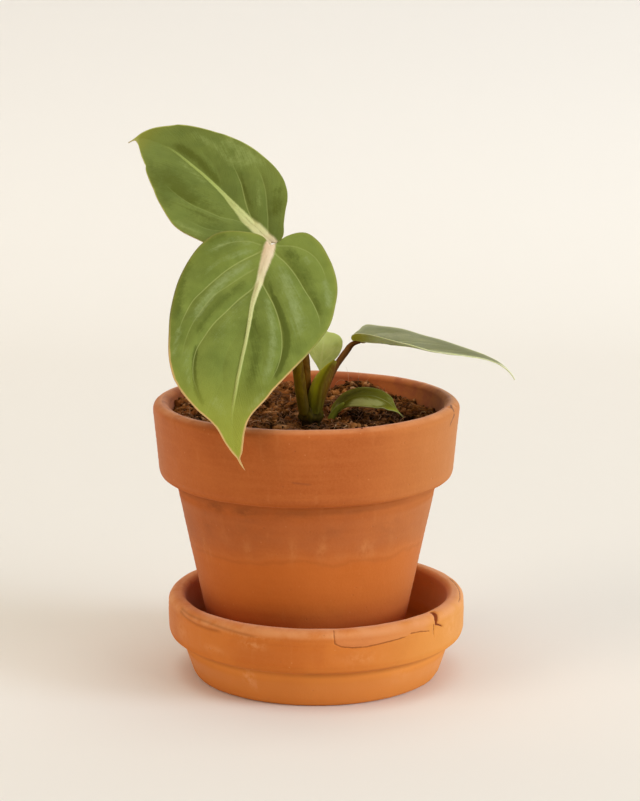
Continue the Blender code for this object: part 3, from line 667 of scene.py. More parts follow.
# The damp foot, darker, with painted shade where it stands inside the saucer.
clay.coat(clay.span(wavy, 0.038, 0.020), (0.46, 0.064, 0.005), 0.7)
worn = clay.times(clay.mark("scuff"), clay.patches(0.0035, 3.0, 0.7, 0.30, 0.62,
                                                   stretch=(1.5, 1.5, 1.0)))
clay.coat(worn, (0.70, 0.27, 0.085), 0.38)
clay.coat(clay.times(clay.span(height, 0.1007, 0.1021),
                     clay.patches(0.010, 4.0, 0.6, 0.30, 0.62, 0.15, 0.60)),
          (0.74, 0.30, 0.115))
# Painted shade darkens the inner wall in patches.
clay.coat(clay.times(clay.mark("inside"), clay.patches(0.009, 4.0, 0.6, 0.42, 0.62, 0.25, 0.70)),
          (0.33, 0.075, 0.028))
gap = clay.math("ABSOLUTE", clay.mark("scratch", 0))
clay.coat(clay.times(clay.mark("scratch", 1), clay.span(gap, 0.62, 0.15)),
          (0.17, 0.050, 0.020), 0.9)
pot = mesh_piece("pot_ware", pot_points, grid_faces(*rim_arc.shape, ring=True, loop=True),
                 [clay.done()],
                 {"scuff": on_outside * pot_scuffs, "scratch": rim_scratches,
                  "band_shadow": on_outside * band_shadow_blots, "inside": ~on_outside})
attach(pot, "root")
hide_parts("pot")


# Soil
# A damp peaty mix, filled in loose and settled into clods, with crumbs, bark fibres and pale
# rootlets lying on it. It goes down to the pot's floor.
SOIL_LEVEL = 95.9
SOIL_REACH = 48.6              # radius of its top before it meets the wall
SOIL_FLOOR = 12.3
SOIL_FLOOR_REACH = 28.0
SOIL_GAP = 0.35                # between soil and pot
SOIL_TURNS = 360
TOP_RINGS, SIDE_RINGS = 120, 12


def wall_radius(height):
    """Radius of the pot's inner wall, straight between three heights."""
    return np.interp(height, (POT_FLOOR + POT_FLOOR_ROUND, BAND_FOOT, POT_TOP - LIP_INNER),
                     (POT_FLOOR_REACH, POT_STEP, POT_MOUTH))


def mound(x, y, at_x, at_y, wide, deep):
    """A soft oval that is 1 in its middle: exp(-(dx / wide)^2 - (dy / deep)^2)."""
    return np.exp(-((x - at_x) / wide) ** 2 - ((y - at_y) / deep) ** 2)


def soil_ground(x, y):
    """Smooth height of the soil at x, y from the pot's axis: a tilted plane with hillocks, a
    heap against the wall behind and hollows beside it."""
    places = np.stack([x, y], -1)
    ground = SOIL_LEVEL - 0.04 * x + 0.045 * y
    ground = ground + 1.1 * lattice_noise(places, 12.0, 21) + 0.8 * lattice_noise(places, 6.0, 22)
    return (ground + 3.2 * mound(x, y, 17.0, 41.0, 7.0, 6.0)
            - 2.0 * mound(x, y, 5.0, 43.0, 5.0, 6.0) - mound(x, y, 42.0, 0.0, 7.0, 12.0))


def clods_at(x, y):
    """Height of the clods over the smooth ground: rounded lumps 2 to 4 mm across, where noise
    of two sizes is folded by |n|^0.6 and |n|^0.7, with fine roughness."""
    places = np.stack([x + 0.8 * lattice_noise(np.stack([x, y], -1), 2.0, 28), y], -1)
    lumps = 1.5 * np.abs(lattice_noise(places, 3.6, 23)) ** 0.6
    lumps = lumps + 0.9 * np.abs(lattice_noise(places, 1.9, 24)) ** 0.7
    return lumps + 0.45 * lattice_noise(places, 0.9, 25) - 1.2


def soil_level(x, y):
    """Height of the soil's surface at x, y from the pot's axis."""
    return soil_ground(x, y) + clods_at(x, y)


def dampness(x, y):
    """How damp the soil is, from 0 to 1: most before the crown."""
    return mound(x, y, -3.0, -31.0, 17.0, 15.0)


def damp_done(skin):
    """The finish with dark damp patches about 8 mm across, which lie mostly where the mark
    `damp` is high."""
    patch = skin.noise(skin.place(centre=(0.01, 0.0, 0.03)), 0.0075, 3.0, 0.6)
    patch = skin.math("ADD", patch, skin.times(skin.mark("damp"), 0.20))
    skin.coat(skin.span(patch, 0.48, 0.64, 0.0, 0.85), (0.012, 0.004, 0.0004))
    return skin.done()


swing = np.radians(np.linspace(0.0, 360.0, SOIL_TURNS, endpoint=False))
ring_radius = SOIL_REACH * np.linspace(0.0, 1.0, TOP_RINGS)[:, None]
disc_x, disc_y = ring_radius * np.sin(swing), -ring_radius * np.cos(swing)
disc_z = soil_level(disc_x, disc_y)
limit = wall_radius(disc_z[-1]) - SOIL_GAP
disc_x[-1], disc_y[-1] = limit * np.sin(swing), -limit * np.cos(swing)
wall_z = np.linspace(1.0, 0.0, SIDE_RINGS)[1:, None] * (disc_z[-1] - SOIL_FLOOR) + SOIL_FLOOR
wall_r = np.minimum(wall_radius(wall_z) - SOIL_GAP, limit)
wall_r[-1] = SOIL_FLOOR_REACH
centre = np.zeros((1, SOIL_TURNS))
soil_points = np.stack([
    np.concatenate([disc_x, wall_r * np.sin(swing), centre]) + POT_AXIS,
    np.concatenate([disc_y, -wall_r * np.cos(swing), centre]),
    np.concatenate([disc_z, wall_z, centre + SOIL_FLOOR])], -1)
below = np.zeros((SIDE_RINGS, SOIL_TURNS))

peat = Finish("peat", Roughness=0.95, Specular_IOR_Level=0.03)
solid = peat.place()
clods = peat.noise(solid, 0.0030, 4.0, 0.72)
# The colour follows the clods' height: painted shade in the hollows and painted light on the tops.
rise = peat.math("MULTIPLY_ADD", clods, 1.6, peat.times(peat.mark("lumpy"), 0.45))
peat.colour = peat.ramp(peat.span(rise, 0.1, 1.7), [
    (0.0, (0.010, 0.003, 0.0002)), (0.30, (0.085, 0.028, 0.004)),
    (0.60, (0.330, 0.118, 0.030)), (1.0, (0.74, 0.38, 0.170))])
peat.coat(peat.patches(0.008, 3.0, 0.6, 0.45, 0.70, 0.0, 0.5, centre=(0.02, 0.01, 0.0)),
          (0.330, 0.088, 0.020))
peat.coat(peat.span(peat.cells(solid, 0.0026), 0.10, 0.20, 0.35, 0.0), (0.26, 0.14, 0.075))
peat.emboss(clods, 0.0010)
peat.emboss(peat.noise(solid, 0.0007, 3.0, 0.7), 0.0005)
soil = mesh_piece("soil_bed", soil_points,
                  grid_faces(*soil_points.shape[:2], ring=True, poles=True), [damp_done(peat)],
                  {"lumpy": np.concatenate([clods_at(disc_x, disc_y), below - 1.0]),
                   "damp": np.concatenate([dampness(disc_x, disc_y), below])})
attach(soil, "root")
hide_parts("soil")


# Crumbs
# Lumps of the same peat that have rolled to the surface, with a few on the pot's rim. Each is a
# 20-sided ball, squashed and turned by chance.
CRUMBS = 620
CRUMB_REACH = 47.0
RIM_HEIGHT = 101.9
random = np.random.default_rng(41)
golden = (1.0 + math.sqrt(5.0)) / 2.0
ball = np.array([(-1, golden, 0), (1, golden, 0), (-1, -golden, 0), (1, -golden, 0),
                 (0, -1, golden), (0, 1, golden), (0, -1, -golden), (0, 1, -golden),
                 (golden, 0, -1), (golden, 0, 1), (-golden, 0, -1), (-golden, 0, 1)], float)
ball /= np.linalg.norm(ball[0])
ball_faces = np.array([(0, 11, 5), (0, 5, 1), (0, 1, 7), (0, 7, 10), (0, 10, 11), (1, 5, 9),
                       (5, 11, 4), (11, 10, 2), (10, 7, 6), (7, 1, 8), (3, 9, 4), (3, 4, 2),
                       (3, 2, 6), (3, 6, 8), (3, 8, 9), (4, 9, 5), (2, 4, 11), (6, 2, 10),
                       (8, 6, 7), (9, 8, 1)])
# Crumbs on the rim: degrees round the pot, radius and size
ON_RIM = np.array([(18.6, 51.8, 0.75), (20.2, 51.2, 0.6), (21.4, 50.6, 0.95), (23.0, 51.9, 0.5),
                   (24.4, 50.6, 0.9), (26.4, 51.0, 0.8), (28.2, 50.7, 0.65), (30.0, 51.6, 0.4),
                   (19.4, 50.3, 1.0), (22.4, 50.1, 0.9), (25.4, 50.1, 0.8), (21.6, 52.9, 0.35),
                   (74.0, 51.5, 0.35), (-24.0, 51.0, 0.3), (14.0, 50.8, 0.35)])


def scattered(count, reach):
    """Places x, y at random on a disc."""
    radius = reach * np.sqrt(random.uniform(0.0, 1.0, count))
    swing = random.uniform(0.0, 2.0 * math.pi, count)
    return radius * np.sin(swing), -radius * np.cos(swing)


def rolled(shape, angle, first, second):
    """The points turned by an angle in the plane of their two named coordinates."""
    a, b = shape[..., first].copy(), shape[..., second].copy()
    shape[..., first] = a * np.cos(angle) - b * np.sin(angle)
    shape[..., second] = a * np.sin(angle) + b * np.cos(angle)
    return shape


crumb_x, crumb_y = scattered(CRUMBS, CRUMB_REACH)
crumb_size = 0.35 + 1.5 * random.beta(1.1, 5.5, CRUMBS)
crumb_z = soil_level(crumb_x, crumb_y) + 0.25 * crumb_size
rim_swing, rim_radius, rim_size = np.radians(ON_RIM[:, 0]), ON_RIM[:, 1], ON_RIM[:, 2]
crumb_x = np.concatenate([crumb_x, rim_radius * np.sin(rim_swing)])
crumb_y = np.concatenate([crumb_y, -rim_radius * np.cos(rim_swing)])
crumb_z = np.concatenate([crumb_z, RIM_HEIGHT + rim_size * 0.6])
crumb_size = np.concatenate([crumb_size, rim_size])
count, corners = len(crumb_size), len(ball)
shape = ball[None] * random.uniform(0.55, 1.4, (count, corners, 1))
shape = shape * random.uniform(0.5, 1.35, (count, 1, 3)) * crumb_size[:, None, None]
spin, tip = random.uniform(0.0, 2.0 * math.pi, (2, count, 1))
shape = rolled(rolled(shape, spin, 0, 1), tip, 1, 2)
crumb_points = shape + np.stack([crumb_x + POT_AXIS, crumb_y, crumb_z], -1)[:, None]
crumb_faces = ball_faces[None] + corners * np.arange(count)[:, None, None]
crumb_tone = random.uniform(0.0, 1.0, count)
crumb_peat = Finish("crumb_peat", Roughness=0.95, Specular_IOR_Level=0.03)
lump = crumb_peat.noise(crumb_peat.place(), 0.0011, 3.0, 0.7)
crumb_peat.colour = crumb_peat.ramp(crumb_peat.mark("tone"), [
    (0.0, (0.013, 0.004, 0.0004)), (0.45, (0.080, 0.027, 0.005)), (0.80, (0.27, 0.105, 0.030)),
    (0.97, (0.48, 0.235, 0.100)), (1.0, (0.66, 0.42, 0.22))])
crumb_peat.coat(crumb_peat.span(lump, 0.45, 0.75, 0.0, 0.5), (0.26, 0.100, 0.028))
crumb_peat.emboss(lump, 0.0005)
crumbs = mesh_piece("soil_crumbs", crumb_points, crumb_faces.reshape(-1, 3),
                    [damp_done(crumb_peat)],
                    {"tone": np.repeat(crumb_tone, corners),
                     "damp": np.repeat(dampness(crumb_x, crumb_y), corners)})
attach(crumbs, "root")


# Fibres and rootlets
# Thin bark fibres and pale dry rootlets that lie across the clods, and a few fine hairs that
# stand up at the wall behind.
FIBRES = 620
FIBRE_REACH = 46.0
WISPS = 26                     # pale rootlets strewn at the front right, beside the placed ones
THREAD_SPANS, THREAD_SIDES = 9, 5
# The placed rootlets: where each starts from the pot's axis, and its way
PALE_START = np.array([(20.4, -39.0, 96.9), (24.6, -41.0, 96.6), (28.4, -34.5, 97.2),
                       (31.4, -37.6, 96.6), (12.6, -43.5, 96.6), (9.4, -41.0, 96.8),
                       (26.0, -43.0, 98.4), (17.8, -29.0, 97.2), (33.0, -24.0, 97.0)])
PALE_WAY = np.array([(2.2, 1.8, 1.4), (4.2, 2.6, 0.8), (4.8, 1.4, 0.6), (4.4, 3.2, 0.4),
                     (4.6, 0.6, 0.4), (-2.8, 2.2, 0.8), (3.6, 1.6, 2.2), (3.4, -2.8, 0.2),
                     (5.2, 2.4, 0.2)])
HAIR_START = np.array([(15.6, 44.0, 98.0), (18.8, 43.6, 98.2), (21.6, 43.2, 98.0)])
HAIR_WAY = np.array([(-0.9, 0.4, 8.0), (0.9, 0.6, 6.4), (2.2, 0.4, 3.6)])


def threads(starts, ways, bends, lifts, radii):
    """Many thin tubes: each runs from its start along `way`, swings sideways by `bend` and up
    by `lift` in an arc 4t(1 - t), and narrows to a point at both ends."""
    t = np.linspace(0.0, 1.0, THREAD_SPANS)[None, :, None]
    hump = 4.0 * t * (1.0 - t)
    centre = starts[:, None] + t * ways[:, None] + hump * bends[:, None]
    centre = centre + hump * lifts[:, None, None] * np.array([0.0, 0.0, 1.0])
    along = unit(np.gradient(centre, axis=1))
    first = unit(np.cross(along, np.array([0.12, 0.33, 0.94])))
    second = np.cross(along, first)
    around = np.linspace(0.0, 2.0 * math.pi, THREAD_SIDES, endpoint=False)[None, None, :, None]
    thick = radii[:, None, None, None] * np.sin(math.pi * t ** 0.8)[..., None] ** 0.4
    return centre[:, :, None] + thick * (np.cos(around) * first[:, :, None]
                                         - np.sin(around) * second[:, :, None])


def thread_faces(count):
    """Faces of `count` tubes of the same make, each closed to a point at both ends."""
    one = grid_faces(THREAD_SPANS, THREAD_SIDES, ring=True, poles=True)
    step = THREAD_SPANS * THREAD_SIDES
    return (one[None] + step * np.arange(count)[:, None, None]).reshape(-1, 3)


def lying(x, y, way, length, lifts, reach=math.inf):
    """Starts and ways of threads that lie on the soil: from x, y they run `length` mm in the
    direction `way`, but not past `reach` from the pot's axis, and `lifts` over the soil."""
    end_x, end_y = x + length * np.cos(way), y + length * np.sin(way)
    too_far = np.maximum(np.hypot(end_x, end_y) / reach, 1.0)
    end_x, end_y = end_x / too_far, end_y / too_far
    start = np.stack([x, y, soil_level(x, y) + lifts[0]], -1)
    return start, np.stack([end_x, end_y, soil_level(end_x, end_y) + lifts[1]], -1) - start


start_x, start_y = scattered(FIBRES, FIBRE_REACH)
way, length = random.uniform(0.0, 2.0 * math.pi, FIBRES), random.uniform(2.0, 8.0, FIBRES)
fibre_start, fibre_way = lying(start_x, start_y, way, length, (0.15, 0.25), CRUMB_REACH)
fibre_bend = random.normal(0.0, 0.9, (FIBRES, 3)) * (1.0, 1.0, 0.0)
fibre_lift = random.uniform(0.3, 1.8, FIBRES)
fibre_thick = random.uniform(0.07, 0.19, FIBRES)
fibre_tone = random.uniform(0.0, 0.8, FIBRES)
start_x, start_y = random.uniform(4.0, 34.0, WISPS), random.uniform(-41.0, -18.0, WISPS)
way, length = random.uniform(0.0, 2.0 * math.pi, WISPS), random.uniform(2.5, 5.5, WISPS)
wisp_start, wisp_way = lying(start_x, start_y, way, length, (0.4, 0.5))
pale, hairs = len(PALE_START) + WISPS, len(HAIR_START)
pale_bend = random.normal(0.0, 1.1, (pale + hairs, 3)) * (1.0, 1.0, 0.2)
starts = np.concatenate([fibre_start, PALE_START, wisp_start, HAIR_START])
thread_points = threads(
    starts + np.array([POT_AXIS, 0.0, 0.0]),
    np.concatenate([fibre_way, PALE_WAY, wisp_way, HAIR_WAY]),
    np.concatenate([fibre_bend, pale_bend]),
    np.concatenate([fibre_lift, np.full(pale, 0.9), np.zeros(hairs)]),
    np.concatenate([fibre_thick, np.full(pale, 0.13), np.full(hairs, 0.035)]))
thread_tone = np.concatenate([fibre_tone, np.full(pale, 0.97), np.ones(hairs)])
bark = Finish("bark_fibre", Roughness=0.8, Specular_IOR_Level=0.3)
bark.colour = bark.ramp(bark.mark("tone"), [
    (0.0, (0.070, 0.024, 0.006)), (0.55, (0.26, 0.095, 0.028)), (0.8, (0.46, 0.22, 0.095)),
    (1.0, (0.66, 0.42, 0.22))])
bark.coat(bark.patches(0.0009, 2.0, 0.5, 0.35, 0.7, 0.0, 0.5), (0.10, 0.045, 0.02))
fibres = mesh_piece("soil_fibres", thread_points, thread_faces(len(starts)), [bark.done()],
                    {"tone": np.repeat(thread_tone, THREAD_SPANS * THREAD_SIDES)})
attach(fibres, "root")


# Crown
# The short stem where four of the five stalks start: olive, ringed by old leaf scars, with its
# lower end buried in the soil.
CROWN_X, CROWN_Y = -1.6, -8.6
RIBS_FROM, RIBS_FULL = 80.0, 92.0   # heights between which the ribs come up

crown_profile = spaced([(0.0, 105.6), (0.9, 105.0), (1.5, 103.4), (2.9, 101.2), (3.9, 99.4),
                        (4.5, 97.6), (4.2, 96.6), (3.1, 95.6), (3.0, 90.9), (2.4, 80.0),
                        (1.0, 76.0), (0.0, 76.0)], 0.35)
crown_angles = np.linspace(-180.0, 180.0, 64, endpoint=False)
crown_points = turned(crown_profile, crown_angles, CROWN_X) + np.array([0.0, CROWN_Y, 0.0])
ribs = (0.45 * np.sin(np.radians(crown_angles) * 5.0)[None, :, None]
        + 0.45 * lattice_noise(crown_points, 1.9, 31)[..., None])
fade = (eased(crown_points[..., 2:3], RIBS_FROM, RIBS_FULL)
        * (crown_profile[:, 0:1] > 0.5)[..., None])
crown_points = crown_points - ribs * fade * outward(crown_points) * (1.0, 1.0, 0.6)
stem = Finish("crown_skin", Roughness=0.7, Specular_IOR_Level=0.05)
scars = stem.noise(stem.place((1.0, 1.0, 0.4)), 0.0016, 3.0, 0.6)
stem.colour = stem.ramp(scars, [(0.30, (0.016, 0.009, 0.0)), (0.52, (0.040, 0.026, 0.0005)),
                                (0.75, (0.070, 0.046, 0.001))])
stem.coat(stem.span(stem.axis(2), 0.0955, 0.0985, 0.8, 0.0), (0.020, 0.010, 0.003))
stem.emboss(scars, 0.0004)
crown = mesh_piece("crown_stem", crown_points,
                   grid_faces(*crown_points.shape[:2], ring=True, poles=True), [stem.done()])
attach(crown, "root")
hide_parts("crown")


# Stalks
# Five fleshy petioles, round with a shallow groove along one side. They are brown and olive and
# finely flecked, and three of them thicken where a blade joins.
def smooth_path(points, at):
    """Places at distances `at` along a curve through the points: cubic pieces whose slopes are
    those of the points' neighbours."""
    points = np.asarray(points, float)
    knots = distances(points)
    slopes = np.gradient(points, knots, axis=0)
    at = np.asarray(at, float)
    i = np.clip(np.searchsorted(knots, at, side="right") - 1, 0, len(knots) - 2)
    reach = (knots[i + 1] - knots[i])[..., None]
    s = (at - knots[i])[..., None] / reach
    start = (1 + 2 * s) * (1 - s) ** 2 * points[i] + s * (1 - s) ** 2 * reach * slopes[i]
    end = s * s * (3 - 2 * s) * points[i + 1] + s * s * (s - 1) * reach * slopes[i + 1]
    return start + end


def path_frame(points, side, along):
    """Centre, sideways and upward vectors at distances along a path. `side` is the sideways
    direction at its start and at its end."""
    reach = distances(points)[-1]
    held = np.clip(along, 0.0, reach)
    before = smooth_path(points, np.clip(held - 0.4, 0.0, reach))
    after = smooth_path(points, np.clip(held + 0.4, 0.0, reach))
    tangent = unit(after - before)
    centre = smooth_path(points, held) + (along - held)[..., None] * tangent
    share = (held / reach)[..., None]
    across = np.array(side[0], float) * (1 - share) + np.array(side[1], float) * share
    across = unit(across - (across * tangent).sum(-1, keepdims=True) * tangent)
    return centre, across, np.cross(tangent, across)


def stalk(name, node, route, radii, colours, seed, swell=0.25, groove=0.12, rows=90, columns=32):
    """A tube along the route. Its radius runs between those at the foot, at 30%, at 78% and at
    the top, swells just under the blade, and dips along a groove; both ends close to a point."""
    reach = distances(route)[-1]
    share = np.linspace(0.0, 1.0, rows)
    centre, across, normal = path_frame(route, ((1, 0, 0), (1, 0, 0)), share * reach)
    radius = np.interp(share, (0.0, 0.3, 0.78, 1.0), radii)
    radius = radius * (1.0 + swell * np.exp(-((1.0 - share) * reach / 2.2) ** 2))
    radius = radius * np.sqrt(np.clip(np.minimum(share * reach / 0.5, (1 - share) * reach / 0.8),
                                      0.0, 1.0))
    around = np.radians(np.linspace(0.0, 360.0, columns, endpoint=False))
    dip = 1.0 - groove * np.exp(-((np.mod(around - 1.2, 2 * math.pi) - math.pi) / 0.5) ** 2)
    ring = (np.cos(around)[None, :, None] * across[:, None]
            - np.sin(around)[None, :, None] * normal[:, None])
    points = centre[:, None] + radius[:, None, None] * dip[None, :, None] * ring
    knobs = lattice_noise(points, 1.1, seed)[..., None] * 0.05 * radius[:, None, None]
    points = points + knobs * ring
    low, high, flank = colours
    skin = Finish(name + "_skin", Roughness=0.6, Specular_IOR_Level=0.05, Sheen_Weight=0.02,
                  Sheen_Roughness=0.5, Sheen_Tint=(1.0, 0.85, 0.5, 1.0))
    flecks = skin.noise(skin.place((1.0, 1.0, 0.35)), 0.0012, 3.0, 0.65)
    skin.colour = skin.mix(skin.span(skin.mark("share"), 0.15, 0.75), low, high)
    skin.coat(skin.span(skin.mark("flank"), -0.1, 0.9), flank)
    skin.coat(skin.span(flecks, 0.40, 0.72, 0.0, 0.45), tuple(min(1.0, c * 1.7) for c in low))
    skin.coat(skin.span(skin.mark("share"), 0.22, 0.02, 0.0, 0.75), (0.045, 0.028, 0.0005))
    skin.emboss(flecks, 0.00025)
    made = mesh_piece(name, points, grid_faces(rows, columns, ring=True, poles=True),
                      [skin.done()], {"share": np.repeat(share[:, None], columns, 1),
                                      "flank": np.repeat(np.cos(around)[None, :], rows, 0)})
    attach(made, "root")
    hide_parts(node)


OLIVE = (0.125, 0.074, 0.001)
BROWN = (0.115, 0.042, 0.001)
stalk("front_stalk", "front_petiole",
      [(-3.9, -10.8, 98.2), (-5.3, -11.3, 106.4), (-6.2, -12.0, 113.5), (-7.9, -14.0, 126.7),
       (-11.4, -17.5, 143.5), (-16.0, -20.9, 160.8)], (2.1, 2.1, 1.4, 1.1),
      (OLIVE, (0.17, 0.085, 0.006), (0.080, 0.036, 0.001)), 51)
stalk("top_stalk", "top_petiole",
      [(-2.9, -7.0, 98.2), (-3.6, -7.0, 105.5), (-3.9, -7.0, 112.5), (-4.3, -7.0, 118.8),
       (-6.9, -7.2, 132.8), (-11.3, -7.8, 149.2), (-15.4, -8.7, 160.1)], (1.8, 1.95, 1.35, 1.1),
      (BROWN, (0.14, 0.060, 0.004), (0.085, 0.036, 0.001)), 52)
stalk("right_stalk", "right_petiole",
      [(0.8, -8.3, 98.7), (3.2, -6.0, 106.1), (5.7, -3.0, 112.1), (7.9, -1.0, 115.8),
       (10.8, 1.5, 119.3), (13.3, 3.7, 121.9), (15.6, 4.0, 122.7), (18.4, 4.0, 122.6)],
      (1.0, 1.1, 1.2, 0.45), ((0.130, 0.052, 0.010), (0.20, 0.075, 0.016),
                              (0.090, 0.032, 0.005)), 53, swell=0.0, rows=120)
stalk("back_stalk", "back_petiole",
      [(-0.6, -5.6, 98.7), (0.2, -2.6, 104.5), (0.9, 0.4, 110.0), (1.1, 1.5, 111.4)],
      (0.6, 0.6, 0.6, 0.6), (OLIVE, (0.26, 0.26, 0.07), (0.09, 0.08, 0.008)), 54,
      rows=40, columns=20)
stalk("low_stalk", "low_petiole",
      [(3.2, -4.2, 86.0), (4.0, -3.8, 91.0), (5.0, -3.2, 94.6), (6.6, -2.6, 97.4),
       (8.6, -2.6, 99.6), (11.0, -3.0, 101.2)], (1.0, 1.5, 1.3, 1.0),
      ((0.14, 0.14, 0.010), (0.22, 0.24, 0.025), (0.07, 0.06, 0.004)), 55, swell=0.0, rows=60)


# Sheath
# The cataphyll that held the newest leaf: an olive, fleshy half tube with a pointed top and
# thin edges, wrapped round the foot of the right leaf's stalk. A painted highlight runs down
# its left side.
SHEATH_WALL = 0.5
SHEATH_ROWS, SHEATH_COLUMNS = 90, 44
SHEATH_ROUTE = [(-0.9, -10.0, 99.0), (1.0, -8.8, 107.9), (4.3, -6.4, 113.8), (6.8, -4.4, 117.1)]


def give_wall(piece, thickness, under=0, margin=0):
    """Thickens a sheet to both sides. `under` and `margin` say which of its finishes its other
    face and its edge take, counted on from the first."""
    wall = piece.modifiers.new("wall", "SOLIDIFY")
    wall.thickness = thickness * MM
    wall.offset = 0.0
    wall.material_offset = under
    wall.material_offset_rim = margin


share = np.linspace(0.0, 1.0, SHEATH_ROWS)
centre, across, normal = path_frame(SHEATH_ROUTE, ((1.0, 0.0, 0.25), (0.9, 0.0, 0.4)),
                                    share * distances(SHEATH_ROUTE)[-1])
forward = np.where(normal[:, 1:2] < 0, normal, -normal)
half = np.interp(share, (0.0, 0.35, 0.6, 0.85, 1.0), (2.3, 3.0, 2.9, 1.8, 0.5))
half = np.convolve(np.pad(half, 6, mode="edge"), np.ones(13) / 13, "valid")
around = np.radians(np.linspace(0.0, 180.0, SHEATH_COLUMNS))
keel = 1.0 + 0.10 * np.exp(-((around - 1.15) / 0.25) ** 2)
bow = np.cos(around)[None, :, None] * across[:, None]
bow = bow + 0.8 * (np.sin(around) * keel)[None, :, None] * forward[:, None]
sheath_points = centre[:, None] + half[:, None, None] * bow
sheath_points += 0.06 * lattice_noise(sheath_points * (1.0, 1.0, 0.3), 0.9, 61)[..., None]
olive = Finish("sheath_skin", Roughness=0.6, Specular_IOR_Level=0.05, Sheen_Weight=0.02,
               Sheen_Tint=(1.0, 1.0, 0.5, 1.0))
fibre = olive.noise(olive.place((2.2, 2.2, 0.35)), 0.0014, 3.0, 0.6)
# Round the tube the colour runs from brown on the right to a painted highlight, bright olive-yellow,
# near the left edge.
olive.colour = olive.ramp(olive.mark("turn"), [
    (0.0, (0.115, 0.038, 0.001)), (0.28, (0.100, 0.045, 0.001)), (0.45, (0.120, 0.085, 0.001)),
    (0.62, (0.310, 0.280, 0.006)), (0.80, (0.560, 0.500, 0.040)), (0.92, (0.420, 0.360, 0.020)),
    (1.0, (0.140, 0.115, 0.002))])
olive.coat(olive.span(olive.mark("share"), 0.86, 1.0, 0.0, 0.6), (0.24, 0.22, 0.03))
# Darker towards the foot, where the painted highlight fades out.
olive.coat(olive.span(olive.mark("share"), 0.52, 0.0, 0.0, 0.92), (0.042, 0.036, 0.001))
olive.coat(olive.span(fibre, 0.42, 0.70, 0.0, 0.25), (0.20, 0.16, 0.01))
olive.emboss(fibre, 0.00015)
sheath = mesh_piece("sheath_leaf", sheath_points,
                    grid_faces(SHEATH_ROWS, SHEATH_COLUMNS)[:, ::-1], [olive.done()],
                    {"share": np.repeat(share[:, None], SHEATH_COLUMNS, 1),
                     "turn": np.repeat((around / math.pi)[None, :], SHEATH_ROWS, 0)})
give_wall(sheath, SHEATH_WALL)
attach(sheath, "root")
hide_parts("sheath")


# Front leaf
# A heart-shaped velvety blade about 0.35 mm thick that hangs over the rim. A broad pale midrib
# lies in it, side veins run in sunk channels with the blade quilted up between them, the margin
# is a thin peach line, and the tip is drawn out to a thread. Painted sheen lies on the quilted
# panels and painted shade beside the channels.
BLADE_WALL = 0.35
RIPPLE_PITCH = 15.0
BLADE_HALF_WIDTH = 28.0


def blade_place(leaf, along, out, sign):
    """A point of the blade `along` its midrib and `out` from it on the side `sign`: the midrib's
    place, plus `out` sideways, plus a height = slope * out - curl * out^2 + ripple upwards, and
    that upward direction."""
    centre, across, normal = path_frame(leaf["midrib"], leaf["side"], along)
    near = (1 - np.clip(along / distances(leaf["midrib"])[-1], 0.0, 1.0)) ** 4
    half = 0 if sign < 0 else 1
    at_stalk, further = leaf["rise"][half]
    slope = np.tan(np.radians(at_stalk * near + further * (1 - near)))
    ripple = leaf["wave"] * (out / BLADE_HALF_WIDTH) ** 2
    ripple = ripple * np.sin(2 * math.pi * along / RIPPLE_PITCH + sign)
    height = slope * out - leaf["curl"][half] * MM * out ** 2 + ripple
    return centre + sign * out[..., None] * across + height[..., None] * normal, normal


def rounded_route(route, pieces=26):
    """The route as a smooth bent line of that many pieces."""
    return smooth_path(route, np.linspace(0.0, distances(route)[-1], pieces + 1))


